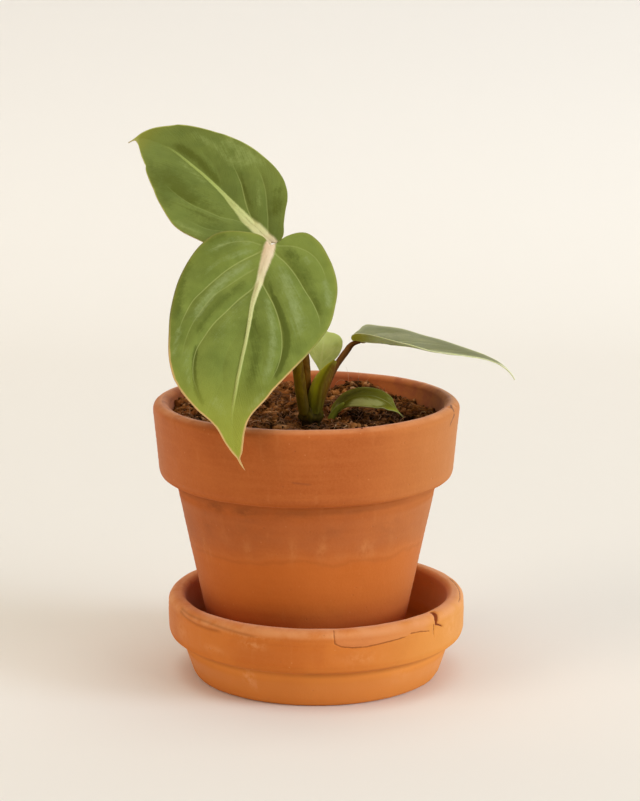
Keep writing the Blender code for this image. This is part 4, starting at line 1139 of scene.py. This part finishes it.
def blade(name, node, leaf, rows, columns, finishes):
    """Two half grids that share the midrib. Rows run from the stalk to the tip at even steps of
    the margin, columns from midrib to margin. Along each vein the blade sinks by its depth *
    exp(-sqrt(distance^2 + 0.1) / width), and the midrib stands up by rib_height * (1 - rib^2).
    Fan numbers the side veins: f = 1.05 out + 0.05 out^2, fan = (along - 0.51 f) / (1 + 0.03 f)."""
    halves = []
    step = np.linspace(0.0, 1.0, rows)
    share = np.linspace(0.0, 1.0, columns)[None, :]
    for sign, margin_points in ((-1, leaf["left"]), (1, leaf["right"])):
        margin = smooth_path(margin_points, step * distances(margin_points)[-1])
        rib = step ** 1.3 * margin_points[-1][0]
        along = rib[:, None] * (1 - share) + margin[:, 0:1] * share
        out = np.maximum(margin[:, 1:2], 0.0) * share
        points, normal = blade_place(leaf, along, out, sign)
        inset = np.hypot(margin[:, 0:1] - along, margin[:, 1:2] - out)
        order = slice(None, None, -1) if sign < 0 else slice(1, None)
        halves.append([a[:, order] for a in (points, normal, along, sign * out, inset)])
    points, normal, along, out, inset = (np.concatenate(pair, axis=1) for pair in zip(*halves))
    tip = leaf["left"][-1][0]
    places = np.stack([along, out], -1)
    shift = np.interp(along, *zip(*leaf.get("rib_shift", [(0, 0), (1, 0)])))
    rib = np.abs(out - shift) / np.interp(along, *zip(*leaf["rib"]))
    lift = leaf["rib_height"] * np.clip(1.0 - rib ** 2, 0.0, None)
    lift = lift * (1.0 - eased(along / tip, 0.60, 0.85))
    veins = []
    for route, depth, width, strength in leaf["veins"]:
        distance, share = along_route(places, rounded_route(route))
        side = np.sign(route[1][1])
        shown = eased(share, -0.01, 0.07) * (1.0 - eased(share, 0.72, 1.05)) * (out * side > -0.2)
        taper = np.interp(share, (0.0, 0.12, 1.0), (1.7, 1.1, 0.6))
        veins.append((distance / taper, strength * shown))
        lift = lift - depth * shown * np.exp(-np.sqrt(distance ** 2 + 0.1) / width)
    # Painted light and shade: a stroke above 0 paints a highlight and one below 0 paints shade,
    # fading away from its route.
    tone = np.zeros_like(along)
    for route, width, amount in leaf["shade_and_sheen_strokes"]:
        distance, share = along_route(places, rounded_route(route))
        ends = eased(share, -0.25, 0.15) * (1.0 - eased(share, 0.8, 1.2))
        tone = tone + amount * ends * np.exp(-(distance / width) ** 2)
    free = eased(inset, 0.0, 2.5)
    lift = lift * free + 0.12 * free * lattice_noise(points, 4.0, leaf["seed"])
    points = points + lift[..., None] * normal
    sweep = 1.05 * np.abs(out) + 0.05 * out ** 2
    fan = (along - 0.51 * sweep) / (1.0 + 0.03 * sweep)
    weave = np.stack([fan, 0.13 * np.abs(out), 30.0 * np.sign(out)], -1)
    marks = {"inset": inset, "rib": rib, "along": along / tip, "tone": tone, "weave": weave}
    while len(veins) % 3:
        veins.append((np.full_like(along, 9.0), np.zeros_like(along)))
    for k in range(0, len(veins), 3):
        gaps, shows = zip(*veins[k:k + 3])
        marks["vein_gap_%d" % (k // 3)] = np.stack(gaps, -1)
        marks["vein_show_%d" % (k // 3)] = np.stack(shows, -1)
    made = mesh_piece(name, points, grid_faces(*along.shape, poles=True), finishes, marks)
    give_wall(made, BLADE_WALL, under=1, margin=2)
    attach(made, "root")
    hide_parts(node)


def vein_lines(skin, leaf, width):
    """How much of a side vein is at each place: full on the line, nothing `width` mm off."""
    total = None
    for group in range(math.ceil(len(leaf["veins"]) / 3)):
        for part in range(3):
            gap = skin.math("ABSOLUTE", skin.mark("vein_gap_%d" % group, part))
            line = skin.times(skin.span(gap, width, width * 0.25),
                              skin.mark("vein_show_%d" % group, part))
            total = line if total is None else skin.math("MAXIMUM", total, line)
    return total


def velvet(name, leaf, greens, vein, margin, rib_stops, tip, tip_from=0.55, vein_width=0.42,
           margin_width=0.5, margin_from=(0.0, 0.1), glow=0.0, gloss=0.22, sheen=0.10):
    """The upper face: a velvety green between deep and light, with painted sheen and painted shade
    laid on in strokes and brushed along the side veins, fine painted sheen specks, pale veins
    and midrib, and a thin coloured margin. `greens` are deep, light, the painted sheen and the
    painted shade. `glow` lets light through."""
    deep, light, painted_sheen, dark = greens
    skin = Finish(name, Roughness=0.66, Specular_IOR_Level=gloss, Sheen_Weight=sheen,
                  Sheen_Roughness=0.5, Sheen_Tint=(0.95, 1.0, 0.72, 1.0),
                  Subsurface_Weight=glow, Subsurface_Radius=(1.0, 1.0, 0.35),
                  Subsurface_Scale=0.0012)
    solid = skin.place()
    woven = skin.node("ShaderNodeAttribute", {}, attribute_name="weave").outputs["Vector"]
    along, inset = skin.mark("along"), skin.mark("inset")
    skin.colour = skin.mix(skin.span(skin.noise(solid, 0.016, 3.0, 0.6), 0.32, 0.68), deep, light)
    brush = skin.noise(woven, 1.3, 4.0, 0.68)
    brushed = skin.math("MULTIPLY_ADD", brush, 1.6, -0.8)
    patches = skin.math("MULTIPLY_ADD", skin.noise(solid, 0.0045, 4.0, 0.65), 1.6, 0.2)
    mottle = skin.math("MULTIPLY_ADD", skin.noise(solid, 0.0012, 4.0, 0.7), 0.9, -0.47)
    # tone: the strokes' painted highlight and painted shade, broken up by patches and brushing.
    tone = skin.math("MULTIPLY_ADD", skin.mark("tone"), patches, skin.times(brushed, 0.55))
    tone = skin.math("ADD", tone, mottle)
    skin.coat(skin.span(tone, 0.05, 1.05), painted_sheen)
    skin.coat(skin.span(tone, -0.05, -0.95), dark)
    grain = skin.noise(solid, 0.00045, 2.0, 0.6)
    # Fine painted sheen specks where the tone is light.
    sheen_specks = skin.times(skin.span(grain, 0.52, 0.74), skin.span(tone, -0.2, 0.9))
    skin.coat(sheen_specks, painted_sheen, 0.32)
    skin.coat(skin.span(along, tip_from, 0.95, 0.0, 0.92), tip)
    skin.coat(skin.span(inset, 3.2, 0.2, 0.0, 0.14), tip)
    skin.coat(vein_lines(skin, leaf, vein_width), vein)
    feather = skin.math("MULTIPLY_ADD", skin.noise(woven, 0.8, 3.0, 0.7), 0.5, -0.25)
    rib = skin.math("ADD", skin.mark("rib"), feather)
    skin.coat(skin.times(skin.span(rib, 1.45, 0.72), skin.span(along, 0.88, 0.60)),
              skin.ramp(along, rib_stops))
    wander = skin.math("MULTIPLY_ADD", skin.noise(solid, 0.003, 2.0), 0.5, -0.25)
    edge = skin.span(skin.math("ADD", inset, wander), margin_width, margin_width * 0.35)
    skin.coat(skin.times(edge, skin.span(along, *margin_from, 0.1, 1.0)), margin)
    skin.coat(skin.span(along, 0.925, 0.965), margin)
    skin.emboss(grain, 0.00007)
    skin.emboss(brush, 0.00016)
    return skin.done()


def underside(name, leaf, base, pale, vein, glow=0.0, at_stalk=None, until=0.2):
    """The lower face: paler and greyer, with the veins standing out, and with a tone of its
    own beside the stalk."""
    skin = Finish(name, Roughness=0.6, Specular_IOR_Level=0.25, Sheen_Weight=0.08,
                  Subsurface_Weight=glow, Subsurface_Radius=(1.0, 1.0, 0.35),
                  Subsurface_Scale=0.0012)
    skin.colour = skin.mix(skin.patches(0.008, 3.0, 0.6, 0.35, 0.66), base, pale)
    if at_stalk:
        skin.coat(skin.span(skin.mark("along"), until, 0.0), at_stalk)
    net = skin.cells(skin.place(), 0.0019, "DISTANCE_TO_EDGE")
    skin.coat(skin.span(net, 0.09, 0.0, 0.0, 0.25), vein)
    skin.coat(vein_lines(skin, leaf, 0.7), vein)
    skin.coat(skin.span(skin.mark("rib"), 1.2, 0.6), vein)
    skin.emboss(net, 0.00012)
    return skin.done()


def cut_edge(name, colour, other, near_stalk=None):
    """The blade's margin, a thin cartilage line in two tones, of another colour towards the
    stalk."""
    skin = Finish(name, Roughness=0.5)
    skin.colour = skin.mix(skin.patches(0.004, 2.0, 0.5, 0.35, 0.65), colour, other)
    if near_stalk:
        skin.coat(skin.span(skin.mark("along"), 0.62, 0.42), near_stalk)
    return skin.done()


PEACH = (0.640, 0.400, 0.140)
UNDER_BASE = (0.200, 0.250, 0.080)
UNDER_PALE = (0.260, 0.310, 0.110)
UNDER_VEIN = (0.420, 0.430, 0.180)

FRONT_LEAF = {
    "midrib": [(-16.2, -22, 161.7), (-20.5, -31, 149.7), (-24.1, -43.5, 135),
               (-27.6, -54.5, 118.2), (-28.6, -60, 105.8), (-26.2, -62.5, 94.2),
               (-24.1, -63, 90.5)],
    "side": ((1, 0, 0), (1, 0, 0)),
    "rise": ((4, 4), (4, 4)),
    "curl": (3, 5),
    "wave": 0.3,
    "left": [(0, 0), (-2.3, 2.5), (-2.6, 11), (0.2, 19), (6.6, 23.3), (15, 26.3), (26, 27.5),
             (39, 26.4), (52, 23), (59.5, 18.3), (64.5, 12.3), (69, 6), (75, 2.9), (78.5, 1.3),
             (80.5, 0.45), (83, 0.3), (85.6, 0)],
    "right": [(0, 0), (-1.6, 1.8), (-5.2, 4.6), (-8.4, 10.8), (-6.4, 16.1), (-1.5, 21.1),
              (6.4, 26.5), (18.2, 28.3), (29.3, 27.3), (38.6, 22.7), (49.4, 16.7), (58.9, 11.1),
              (66.3, 6.3), (72, 4.2), (76.5, 3), (79.4, 1.9), (81.2, 0.5), (83, 0.3), (85.6, 0)],
    "rib": [(-4, 1.2), (0, 1.7), (3, 1.8), (7, 1.55), (12, 1.2), (18.5, 0.92),
            (26, 0.62), (38, 0.44), (50, 0.42), (62, 0.42), (86, 0.25)],
    "rib_shift": [(0, 0), (6, 0.4), (14, 0.6), (24, 0.2), (32, 0.5), (40, 0.8),
                  (50, 0.7), (60, 0.3), (66, 0)],
    "rib_height": 0.35,
    "seed": 71,
    "veins": [
        ([(0.6, -2.2), (0.4, -7.1), (1.9, -11.9), (4.7, -16.1), (8.2, -20.1)], 0.45, 1.5, 0.30),
        ([(1.6, -1.2), (2.9, -2.4), (6, -5.5), (9.4, -8.7), (14.6, -12.9), (20.9, -17.3),
          (26.3, -20.7), (32.8, -22.2), (41.3, -23)], 0.95, 1.5, 0.52),
        ([(9.1, -1.4), (13.2, -5.1), (17.9, -9.1), (23.4, -13.9), (30.3, -17.1), (37.6, -19.2),
          (44.1, -19.9), (50.1, -19.6)], 0.60, 1.4, 0.28),
        ([(13.5, -0.4), (16.7, -0.9), (22.3, -4.6), (28.4, -8.3), (33.8, -11.5), (39.3, -13.6),
          (44.5, -15.3), (49.5, -15.5), (54.6, -14.5), (60.6, -11.7)], 1.05, 1.6, 0.55),
        ([(31.4, -0.4), (37.5, -3), (44, -4.9), (51.4, -5.1), (58.2, -3.4)],
         0.30, 1.3, 0.04),
        ([(-0.6, 1.6), (-2.1, 9.3), (-1.2, 14.3), (2.3, 19.4), (8.3, 23.7)], 0.45, 1.5, 0.30),
        ([(0.8, 1.2), (1.7, 2), (4.6, 7), (8.5, 12.1), (13.7, 16.7), (18.8, 20.6),
          (24.7, 23.7), (29.7, 24.9)], 0.95, 1.5, 0.52),
        ([(11, 0.4), (14.1, 1.4), (18.5, 4.5), (23.1, 7.6), (28.9, 10.4), (35.4, 12.6),
          (41.5, 13.5), (47.5, 13), (53.8, 11.1)], 1.15, 1.6, 0.60),
        ([(31.2, 0.3), (36.1, 4.4), (41.8, 6.9), (49.2, 8.1), (57, 6.6)], 0.20, 1.3, 0.03)],
    "shade_and_sheen_strokes": [
        ([(20.2, 7.1), (24.5, 9.5), (29.3, 12.2), (33.6, 14.1), (37.8, 14.9), (42.1, 14.6),
          (46, 14), (50.2, 13.2)], 1.2, -1.5),
        ([(13.5, 4), (17, 5.4), (21, 7.6)], 0.7, -0.7),
        ([(31, 2.4), (35.9, 4), (41.4, 5.1), (47.1, 5.2), (52.8, 5.1), (58.2, 4.8)], 2.4, -0.6),
        ([(24, 1.6), (31, 1.8), (38, 1.9)], 1, -0.5),
        ([(0, 6.5), (3.5, 10.6), (8, 14.5), (13, 18)], 2.6, -0.55),
        ([(13.5, 19.5), (19, 22.5), (23.7, 24.2)], 1.6, -0.55),
        ([(43.8, -15.6), (48.1, -15.4), (52.1, -14.7), (55.8, -13.8), (60, -12.1),
          (63, -10)], 0.9, -1.1),
        ([(13.4, -26.5), (19.4, -26.6), (26.6, -26.4), (35.2, -25.3)], 2.4, -0.9),
        ([(5.5, -21.5), (2.1, -19.1), (-0.1, -16.1)], 1.8, -0.7),
        ([(9.9, -10.8), (12.7, -14.2), (15.5, -17)], 1.2, -0.3),
        ([(16.5, -4.9), (21.7, -8.6), (27.1, -12.4), (33.4, -15.1), (39.4, -16.4)], 1.4, -0.6),
        ([(8.6, -4.9), (12.3, -8.2), (16.4, -11.3), (21.5, -14), (26.9, -16.6),
          (33.1, -18.3)], 2, 0.7),
        ([(21.2, -2.7), (25.7, -4.6), (31, -6.5), (36.2, -8.2), (41.6, -9.9)], 2, 0.3),
        ([(0.8, -6.3), (1.1, -11.4), (4.3, -16.2), (8.6, -20.4)], 1.8, 0.5),
        ([(4, -6), (7.1, -10.2), (11.3, -14.7), (16, -18.3)], 1.4, 0.45),
        ([(1.5, 12.5), (3.6, 15.4)], 2, 0.6),
        ([(7.3, 6.3), (12.6, 10), (19.5, 13.6), (26.8, 16.3), (33.6, 18.2)], 3, 0.6),
        ([(21.4, 5.1), (28.5, 7.5), (34.9, 9.4), (41.1, 10.3), (48.1, 10.2), (54, 9)],
         1.8, 0.55),
        ([(7.6, 22.1), (13.2, 24.9), (20.3, 25.8)], 1.6, 0.55),
        ([(45.7, -18.2), (51.8, -17.2), (57.2, -15.3)], 1.3, 0.4),
        ([(38.1, -22.6), (43.5, -22.9), (49.2, -22.6)], 1, 0.5),
        ([(61.4, -7.1), (63.7, -4.2), (65.9, -2)], 2.2, 0.5),
        ([(56.5, 10), (60.4, 7.8), (64.5, 5.5)], 1.6, 0.5)],
}
front_margin = cut_edge("front_margin", PEACH, (0.70, 0.50, 0.25), (0.22, 0.185, 0.04))
front_face = velvet("front_velvet", FRONT_LEAF,
                   ((0.130, 0.164, 0.018), (0.197, 0.239, 0.035), (0.260, 0.310, 0.100),
                    (0.090, 0.115, 0.006)), (0.370, 0.400, 0.115), PEACH,
                   [(0.0, (0.76, 0.56, 0.36)), (0.10, (0.74, 0.60, 0.37)),
                    (0.22, (0.68, 0.63, 0.30)), (0.36, (0.60, 0.60, 0.24)),
                    (0.55, (0.46, 0.48, 0.16)), (0.80, (0.36, 0.38, 0.06))],
                   (0.335, 0.345, 0.036), 0.54, 0.38, 0.9, (0.38, 0.62))
front_under = underside("front_underside", FRONT_LEAF, UNDER_BASE, UNDER_PALE, UNDER_VEIN)
blade("front_blade", "front_leaf", FRONT_LEAF, 210, 52, [front_face, front_under, front_margin])


# Top leaf
# The same kind of blade on its own stalk behind the front one. It points up to the left, and
# the half on the right catches the light, which painted light and painted shade strengthen.
TOP_LEAF = {
    "midrib": [(-16, -10, 161), (-26.1, -3, 169.7), (-33.9, 4, 177.1),
               (-45.3, 12, 186.3), (-55.4, 18, 192.5), (-65.8, 21, 194.7),
               (-68.7, 21, 193.3)],
    "side": ((-0.48, -0.62, -0.62), (-0.48, -0.62, -0.62)),
    "rise": ((14, 14), (12, 12)),
    "curl": (5, 2),
    "wave": 0.3,
    "left": [(0, 0), (-1.8, 2), (-1.2, 4.4), (2.6, 8.4), (6, 12.3), (8.9, 15.8), (11.8, 18),
             (16, 19.7), (21.3, 20.6), (26.5, 20.9), (32.5, 20.4), (37.8, 19.2), (43, 17.4),
             (48.5, 15), (53, 12.6), (57, 10.2), (60.7, 7.6), (63.7, 5.1), (66.5, 2.5),
             (69.2, 0.5), (72.1, 0)],
    "right": [(0, 0), (-2.6, 2.4), (-3.6, 8), (0, 14), (6.5, 17.3), (13.7, 20.2), (19.2, 23),
              (28.1, 23.8), (36.2, 22.2), (42.1, 20.2), (46.5, 18), (50, 16.3), (53, 15), (55, 14.1),
              (57, 13), (58.5, 12), (60, 10.7), (62, 9.1), (64, 7.3), (66.2, 5.2), (68.4, 2.4),
              (69.6, 0.5), (72.1, 0)],
    "rib": [(-4, 1.4), (0, 1.9), (6, 2.1), (12, 1.8), (18, 1.2), (26, 0.66),
            (40, 0.42), (54, 0.32), (72, 0.25)],
    "rib_height": 0.30,
    "seed": 72,
    "veins": [
        ([(1.5, -0.9), (2.9, -1.6), (9, -6.5), (16.3, -11.3), (23.3, -14.4), (29.5, -16.3)],
         0.75, 1.5, 0.32),
        ([(8.6, -0.7), (11, -1.4), (17, -3.3), (22.2, -5.5), (27.5, -8), (33.7, -10.1)],
         0.95, 1.5, 0.55),
        ([(28, -0.8), (30, -1.8), (35.3, -4.4), (41.9, -5.9), (48, -6)], 0.35, 1.4, 0.03),
        ([(9, 0.6), (11.2, 1.2), (15, 3.3), (18.3, 6.9), (23.9, 10), (30.2, 12.9),
          (38.3, 14.2), (44.5, 14.3)], 0.85, 1.5, 0.25),
        ([(1.5, 1.4), (6, 5), (12.5, 9.8), (17.2, 15.3), (22.7, 18.4)], 0.55, 1.4, 0.18),
        ([(19.5, 0.7), (21.4, 1.2), (26.3, 4.3), (33.3, 6.8), (41.3, 6.6)], 0.35, 1.4, 0.03)],
    "shade_and_sheen_strokes": [
        ([(54.1, -2.1), (49.1, -2.8), (43.2, -3), (37.4, -2.4), (31.2, -1.6)], 1.5, -0.95),
        ([(30, -10), (25, -7.7), (19.8, -5.6), (15.3, -4.3)], 0.8, -0.6),
        ([(15.5, -16.6), (10.8, -12.4), (7.2, -7.8)], 3, -0.6),
        ([(52.3, 9.3), (45.4, 11.7), (36.9, 12.5), (30.2, 10.2)], 3.2, -0.4),
        ([(58.6, 9.6), (44.8, 17), (33.5, 20.6)], 2, -0.4),
        ([(16, 9), (26, 11), (38, 11), (48, 9)], 6, -0.6),
        ([(52.7, -9.2), (48, -10.5), (42.6, -10.7), (37.6, -10.6), (33.1, -10.1)], 1.6, 0.45),
        ([(27.2, -17.8), (32.8, -17.4), (38.5, -16.3), (43.9, -15.2)], 3, 0.5),
        ([(36, -13), (30, -13.5)], 3, 0.4),
        ([(23.5, -12.8), (18.1, -9.4), (13.3, -6.3)], 1.1, 0.4),
        ([(49.2, 2), (41.8, 2.3), (34.4, 2.1)], 1.4, 0.5),
        ([(26, 22.5), (19.5, 20.5), (15.5, 18)], 2, 0.5),
        ([(15, 3.8), (18.3, 7.4), (23.9, 10.5), (30.2, 13.4), (38.3, 14.7)], 1.5, 0.35)],
}
top_margin = cut_edge("top_margin", (0.56, 0.44, 0.17), (0.64, 0.52, 0.24))
top_face = velvet("top_velvet", TOP_LEAF,
                  ((0.116, 0.147, 0.017), (0.163, 0.198, 0.028), (0.255, 0.300, 0.072),
                   (0.090, 0.108, 0.003)), (0.350, 0.385, 0.105), (0.40, 0.40, 0.08),
                  [(0.0, (0.70, 0.54, 0.33)), (0.07, (0.66, 0.60, 0.28)),
                   (0.25, (0.54, 0.56, 0.20)), (0.45, (0.40, 0.46, 0.11)),
                   (0.85, (0.27, 0.32, 0.06))], (0.235, 0.235, 0.024), 0.82, 0.38, 0.45,
                  (0.2, 0.5))
top_under = underside("top_underside", TOP_LEAF, UNDER_BASE, UNDER_PALE, UNDER_VEIN)
blade("top_blade", "top_leaf", TOP_LEAF, 180, 46, [top_face, top_under, top_margin])


# Right leaf
# A younger blade, still folded along its midrib and seen almost edge on. Its near half shows
# the yellow-green lower face at the base, painted pale with the light that comes through it, and
# its tip runs out to a pale thread.
RIGHT_LEAF = {
    "midrib": [(13.8, 4, 122.9), (22.5, 4, 122), (30.5, 4, 121.3), (44, 3, 119.1),
               (54.5, 2, 117.8), (62.1, 1, 116.5), (67.9, 0, 114.1), (70.8, 0, 111.5),
               (72.3, 0, 109.3)],
    "side": ((0, 1, 0), (0, 1, 0)),
    "rise": ((28, 10.5), (20, 7)),
    "curl": (2, 2),
    "wave": 0.3,
    "left": [(0, 0), (-0.8, 1.2), (-1.3, 3.5), (-1, 6.5), (0.8, 9.4), (4.5, 12.6), (10, 15.8),
             (17, 17.6), (29.4, 15.5), (40.4, 9.6), (47, 5.2), (53, 2.5), (58, 0.9), (59.8, 0.4),
             (61.8, 0)],
    "right": [(0, 0), (-0.6, 1.2), (-0.7, 3.2), (0.3, 5.8), (1.8, 8.9), (2.8, 11.8),
              (4.5, 14.6), (8.6, 16.8), (16.6, 18.4), (29.4, 16.6), (40.4, 9.9), (46, 6),
              (52, 3.3), (57, 1.5), (59.8, 0.5), (61.8, 0)],
    "rib": [(-2, 1), (0, 1), (10, 0.85), (30, 0.6), (62, 0.3)],
    "rib_height": 0.25,
    "seed": 73,
    "veins": [
        ([(2, -1), (5, -5), (10, -10), (18, -14)], 0.4, 1.5, 0.5),
        ([(12, -0.8), (18, -5), (27, -9), (36, -9.5)], 0.4, 1.5, 0.5),
        ([(26, -0.6), (33, -3.6), (41, -5)], 0.3, 1.3, 0.4),
        ([(2, 1), (5, 5), (10, 10), (18, 14.5)], 0.4, 1.5, 0.5),
        ([(12, 0.8), (18, 5), (27, 9), (36, 9.5)], 0.4, 1.5, 0.5),
        ([(26, 0.6), (33, 3.6), (41, 5)], 0.3, 1.3, 0.4)],
    "shade_and_sheen_strokes": [
        ([(6, 6), (16, 10), (30, 10)], 4, 0.5),
        ([(34, 3), (46, 3), (56, 1.5)], 2.5, -0.4)],
}
right_margin = cut_edge("right_margin", (0.62, 0.62, 0.28), (0.70, 0.68, 0.36))
right_face = velvet("right_velvet", RIGHT_LEAF,
                    ((0.168, 0.170, 0.066), (0.221, 0.220, 0.097), (0.298, 0.290, 0.148),
                     (0.125, 0.130, 0.042)), (0.380, 0.390, 0.180), (0.60, 0.58, 0.28),
                    [(0.0, (0.45, 0.45, 0.16)), (0.5, (0.40, 0.41, 0.18)),
                     (1.0, (0.60, 0.58, 0.36))], (0.78, 0.74, 0.50), 0.84, 0.34, 0.55,
                    glow=0.5)
# The lower face is painted far paler than the other blades' and yellow beside the stalk: its own
# colour with painted light that comes through the blade.
right_under = underside("right_underside", RIGHT_LEAF, (0.52, 0.62, 0.34), (0.60, 0.70, 0.40),
                        (0.68, 0.74, 0.44), 0.4, (0.50, 0.50, 0.010), 0.15)
blade("right_blade", "right_leaf", RIGHT_LEAF, 150, 38, [right_face, right_under, right_margin])


# Back leaf
# The smallest blade, round, behind the sheath, and so thin that light comes through it; its
# pale greens paint that light in.
BACK_LEAF = {
    "midrib": [(1.2, 2, 112.2), (1.9, 4, 116.6), (2.5, 7, 120.9), (2.1, 10, 124.8),
               (1, 12, 127.4)],
    "side": ((-1, 0, 0), (-1, 0, 0)),
    "rise": ((6, 4), (6, 4)),
    "curl": (6, 6),
    "wave": 0.1,
    "left": [(0, 0), (1.5, 1.4), (4.4, 4.5), (5.9, 5.6), (8, 6.5), (10.1, 7.1), (11.6, 7.1),
             (12.8, 6.5), (14, 4.8), (15, 2.3), (17.4, 0)],
    "right": [(0, 0), (1.3, 0.9), (5, 3.9), (7.5, 5.6), (10, 6.6), (12.5, 6), (14, 4), (15, 2),
              (17.4, 0)],
    "rib": [(0, 0.45), (8, 0.35), (17.4, 0.2)],
    "rib_height": 0.12,
    "seed": 74,
    "veins": [
        ([(3, -0.4), (6, -2.6), (10, -4.6)], 0.18, 0.8, 0.5),
        ([(7, -0.4), (10, -1.8), (13, -3)], 0.15, 0.8, 0.4),
        ([(3, 0.4), (6, 2.4), (10, 4.2)], 0.18, 0.8, 0.5)],
    "shade_and_sheen_strokes": [([(4, -3), (8, -5), (12, -5)], 1.6, -0.5),
                ([(4, 2), (9, 3), (13, 3)], 2, 0.4)],
}
back_margin = cut_edge("back_margin", (0.42, 0.45, 0.17), (0.50, 0.52, 0.24))
# Pale greens: painted light coming through the blade.
back_face = velvet("back_velvet", BACK_LEAF,
                   ((0.390, 0.430, 0.110), (0.480, 0.520, 0.165), (0.560, 0.590, 0.250),
                    (0.300, 0.340, 0.080)), (0.490, 0.530, 0.180), (0.46, 0.49, 0.17),
                   [(0.0, (0.47, 0.50, 0.15)), (1.0, (0.49, 0.53, 0.18))],
                   (0.470, 0.510, 0.160), 0.9, 0.30, 0.35, glow=0.5)
back_under = underside("back_underside", BACK_LEAF, (0.38, 0.42, 0.13), (0.45, 0.49, 0.18),
                       (0.46, 0.50, 0.19), glow=0.5)
blade("back_blade", "back_leaf", BACK_LEAF, 90, 26, [back_face, back_under, back_margin])


# Low leaf
# A small blade, arched over the soil from its own short stalk, with a thread at its tip. Its
# greens are painted dark for the shade it lies in, with a painted highlight along its near half.
LOW_LEAF = {
    "midrib": [(7.2, -2, 97.8), (10.5, -3, 101.5), (15.2, -3.5, 103.7), (21, -4, 103.8),
               (25.7, -5, 102.1), (28.5, -6.5, 99.9), (30.3, -8, 98.3), (31.2, -9, 97.6)],
    "side": ((-0.2, 0.93, 0.3), (0, 0.976, 0.216)),
    "rise": ((0, 0), (0, 0)),
    "curl": (8, 8),
    "wave": 0.1,
    "left": [(0, 0), (0.2, 0.9), (1.2, 1.8), (3, 2.4), (5.4, 3.4), (8, 5.1), (11.8, 7.1),
             (17.3, 8.1), (22, 7.8), (25, 5.6), (26.3, 2.5), (27.2, 0.6), (30, 0)],
    "right": [(0, 0), (-1.9, 1.6), (-2.2, 4), (-0.6, 5.8), (2.2, 6.4), (6, 7.1), (9.4, 7.3),
              (12.3, 7.7), (14.6, 7.8), (17.2, 8.1), (20.1, 7.2), (22.7, 3.7), (25.1, 1.2),
              (27, 0.5), (30, 0)],
    "rib": [(-2, 0.7), (0, 0.7), (10, 0.5), (30, 0.25)],
    "rib_height": 0.15,
    "seed": 75,
    "veins": [
        ([(3, -0.5), (7, -3), (13, -5.2)], 0.10, 1, 0.2),
        ([(9, -0.5), (14, -3), (20, -4.6)], 0.10, 1, 0.2),
        ([(5, 0.5), (10, 3.2), (16, 4.8)], 0.10, 1, 0.2)],
    "shade_and_sheen_strokes": [([(7.5, -3), (13, -4.6), (21, -4.6)], 2.6, 1.3),
                ([(0.5, -2.6), (0.5, 3.6)], 2.2, 0.7),
                ([(4, 3), (10, 4.5), (14, 4.5)], 2.6, -0.5),
                ([(20, 3.5), (23, 2.5)], 2, 0.35)],
}
low_margin = cut_edge("low_margin", (0.30, 0.27, 0.08), (0.24, 0.22, 0.05))
# Dark greens: painted shade.
low_face = velvet("low_velvet", LOW_LEAF,
                  ((0.095, 0.085, 0.002), (0.140, 0.128, 0.004), (0.310, 0.300, 0.095),
                   (0.045, 0.036, 0.0)), (0.150, 0.145, 0.020), (0.42, 0.40, 0.14),
                  [(0.0, (0.15, 0.13, 0.004)), (0.3, (0.12, 0.11, 0.004)),
                   (0.5, (0.13, 0.13, 0.02)), (1.0, (0.50, 0.42, 0.16))],
                  (0.330, 0.330, 0.030), 0.76, 0.25, 0.28, (0.25, 0.45), gloss=0.03, sheen=0.0)
low_under = underside("low_underside", LOW_LEAF, (0.170, 0.180, 0.030), (0.230, 0.240, 0.060),
                      (0.320, 0.320, 0.100))
blade("low_blade", "low_leaf", LOW_LEAF, 110, 30, [low_face, low_under, low_margin])
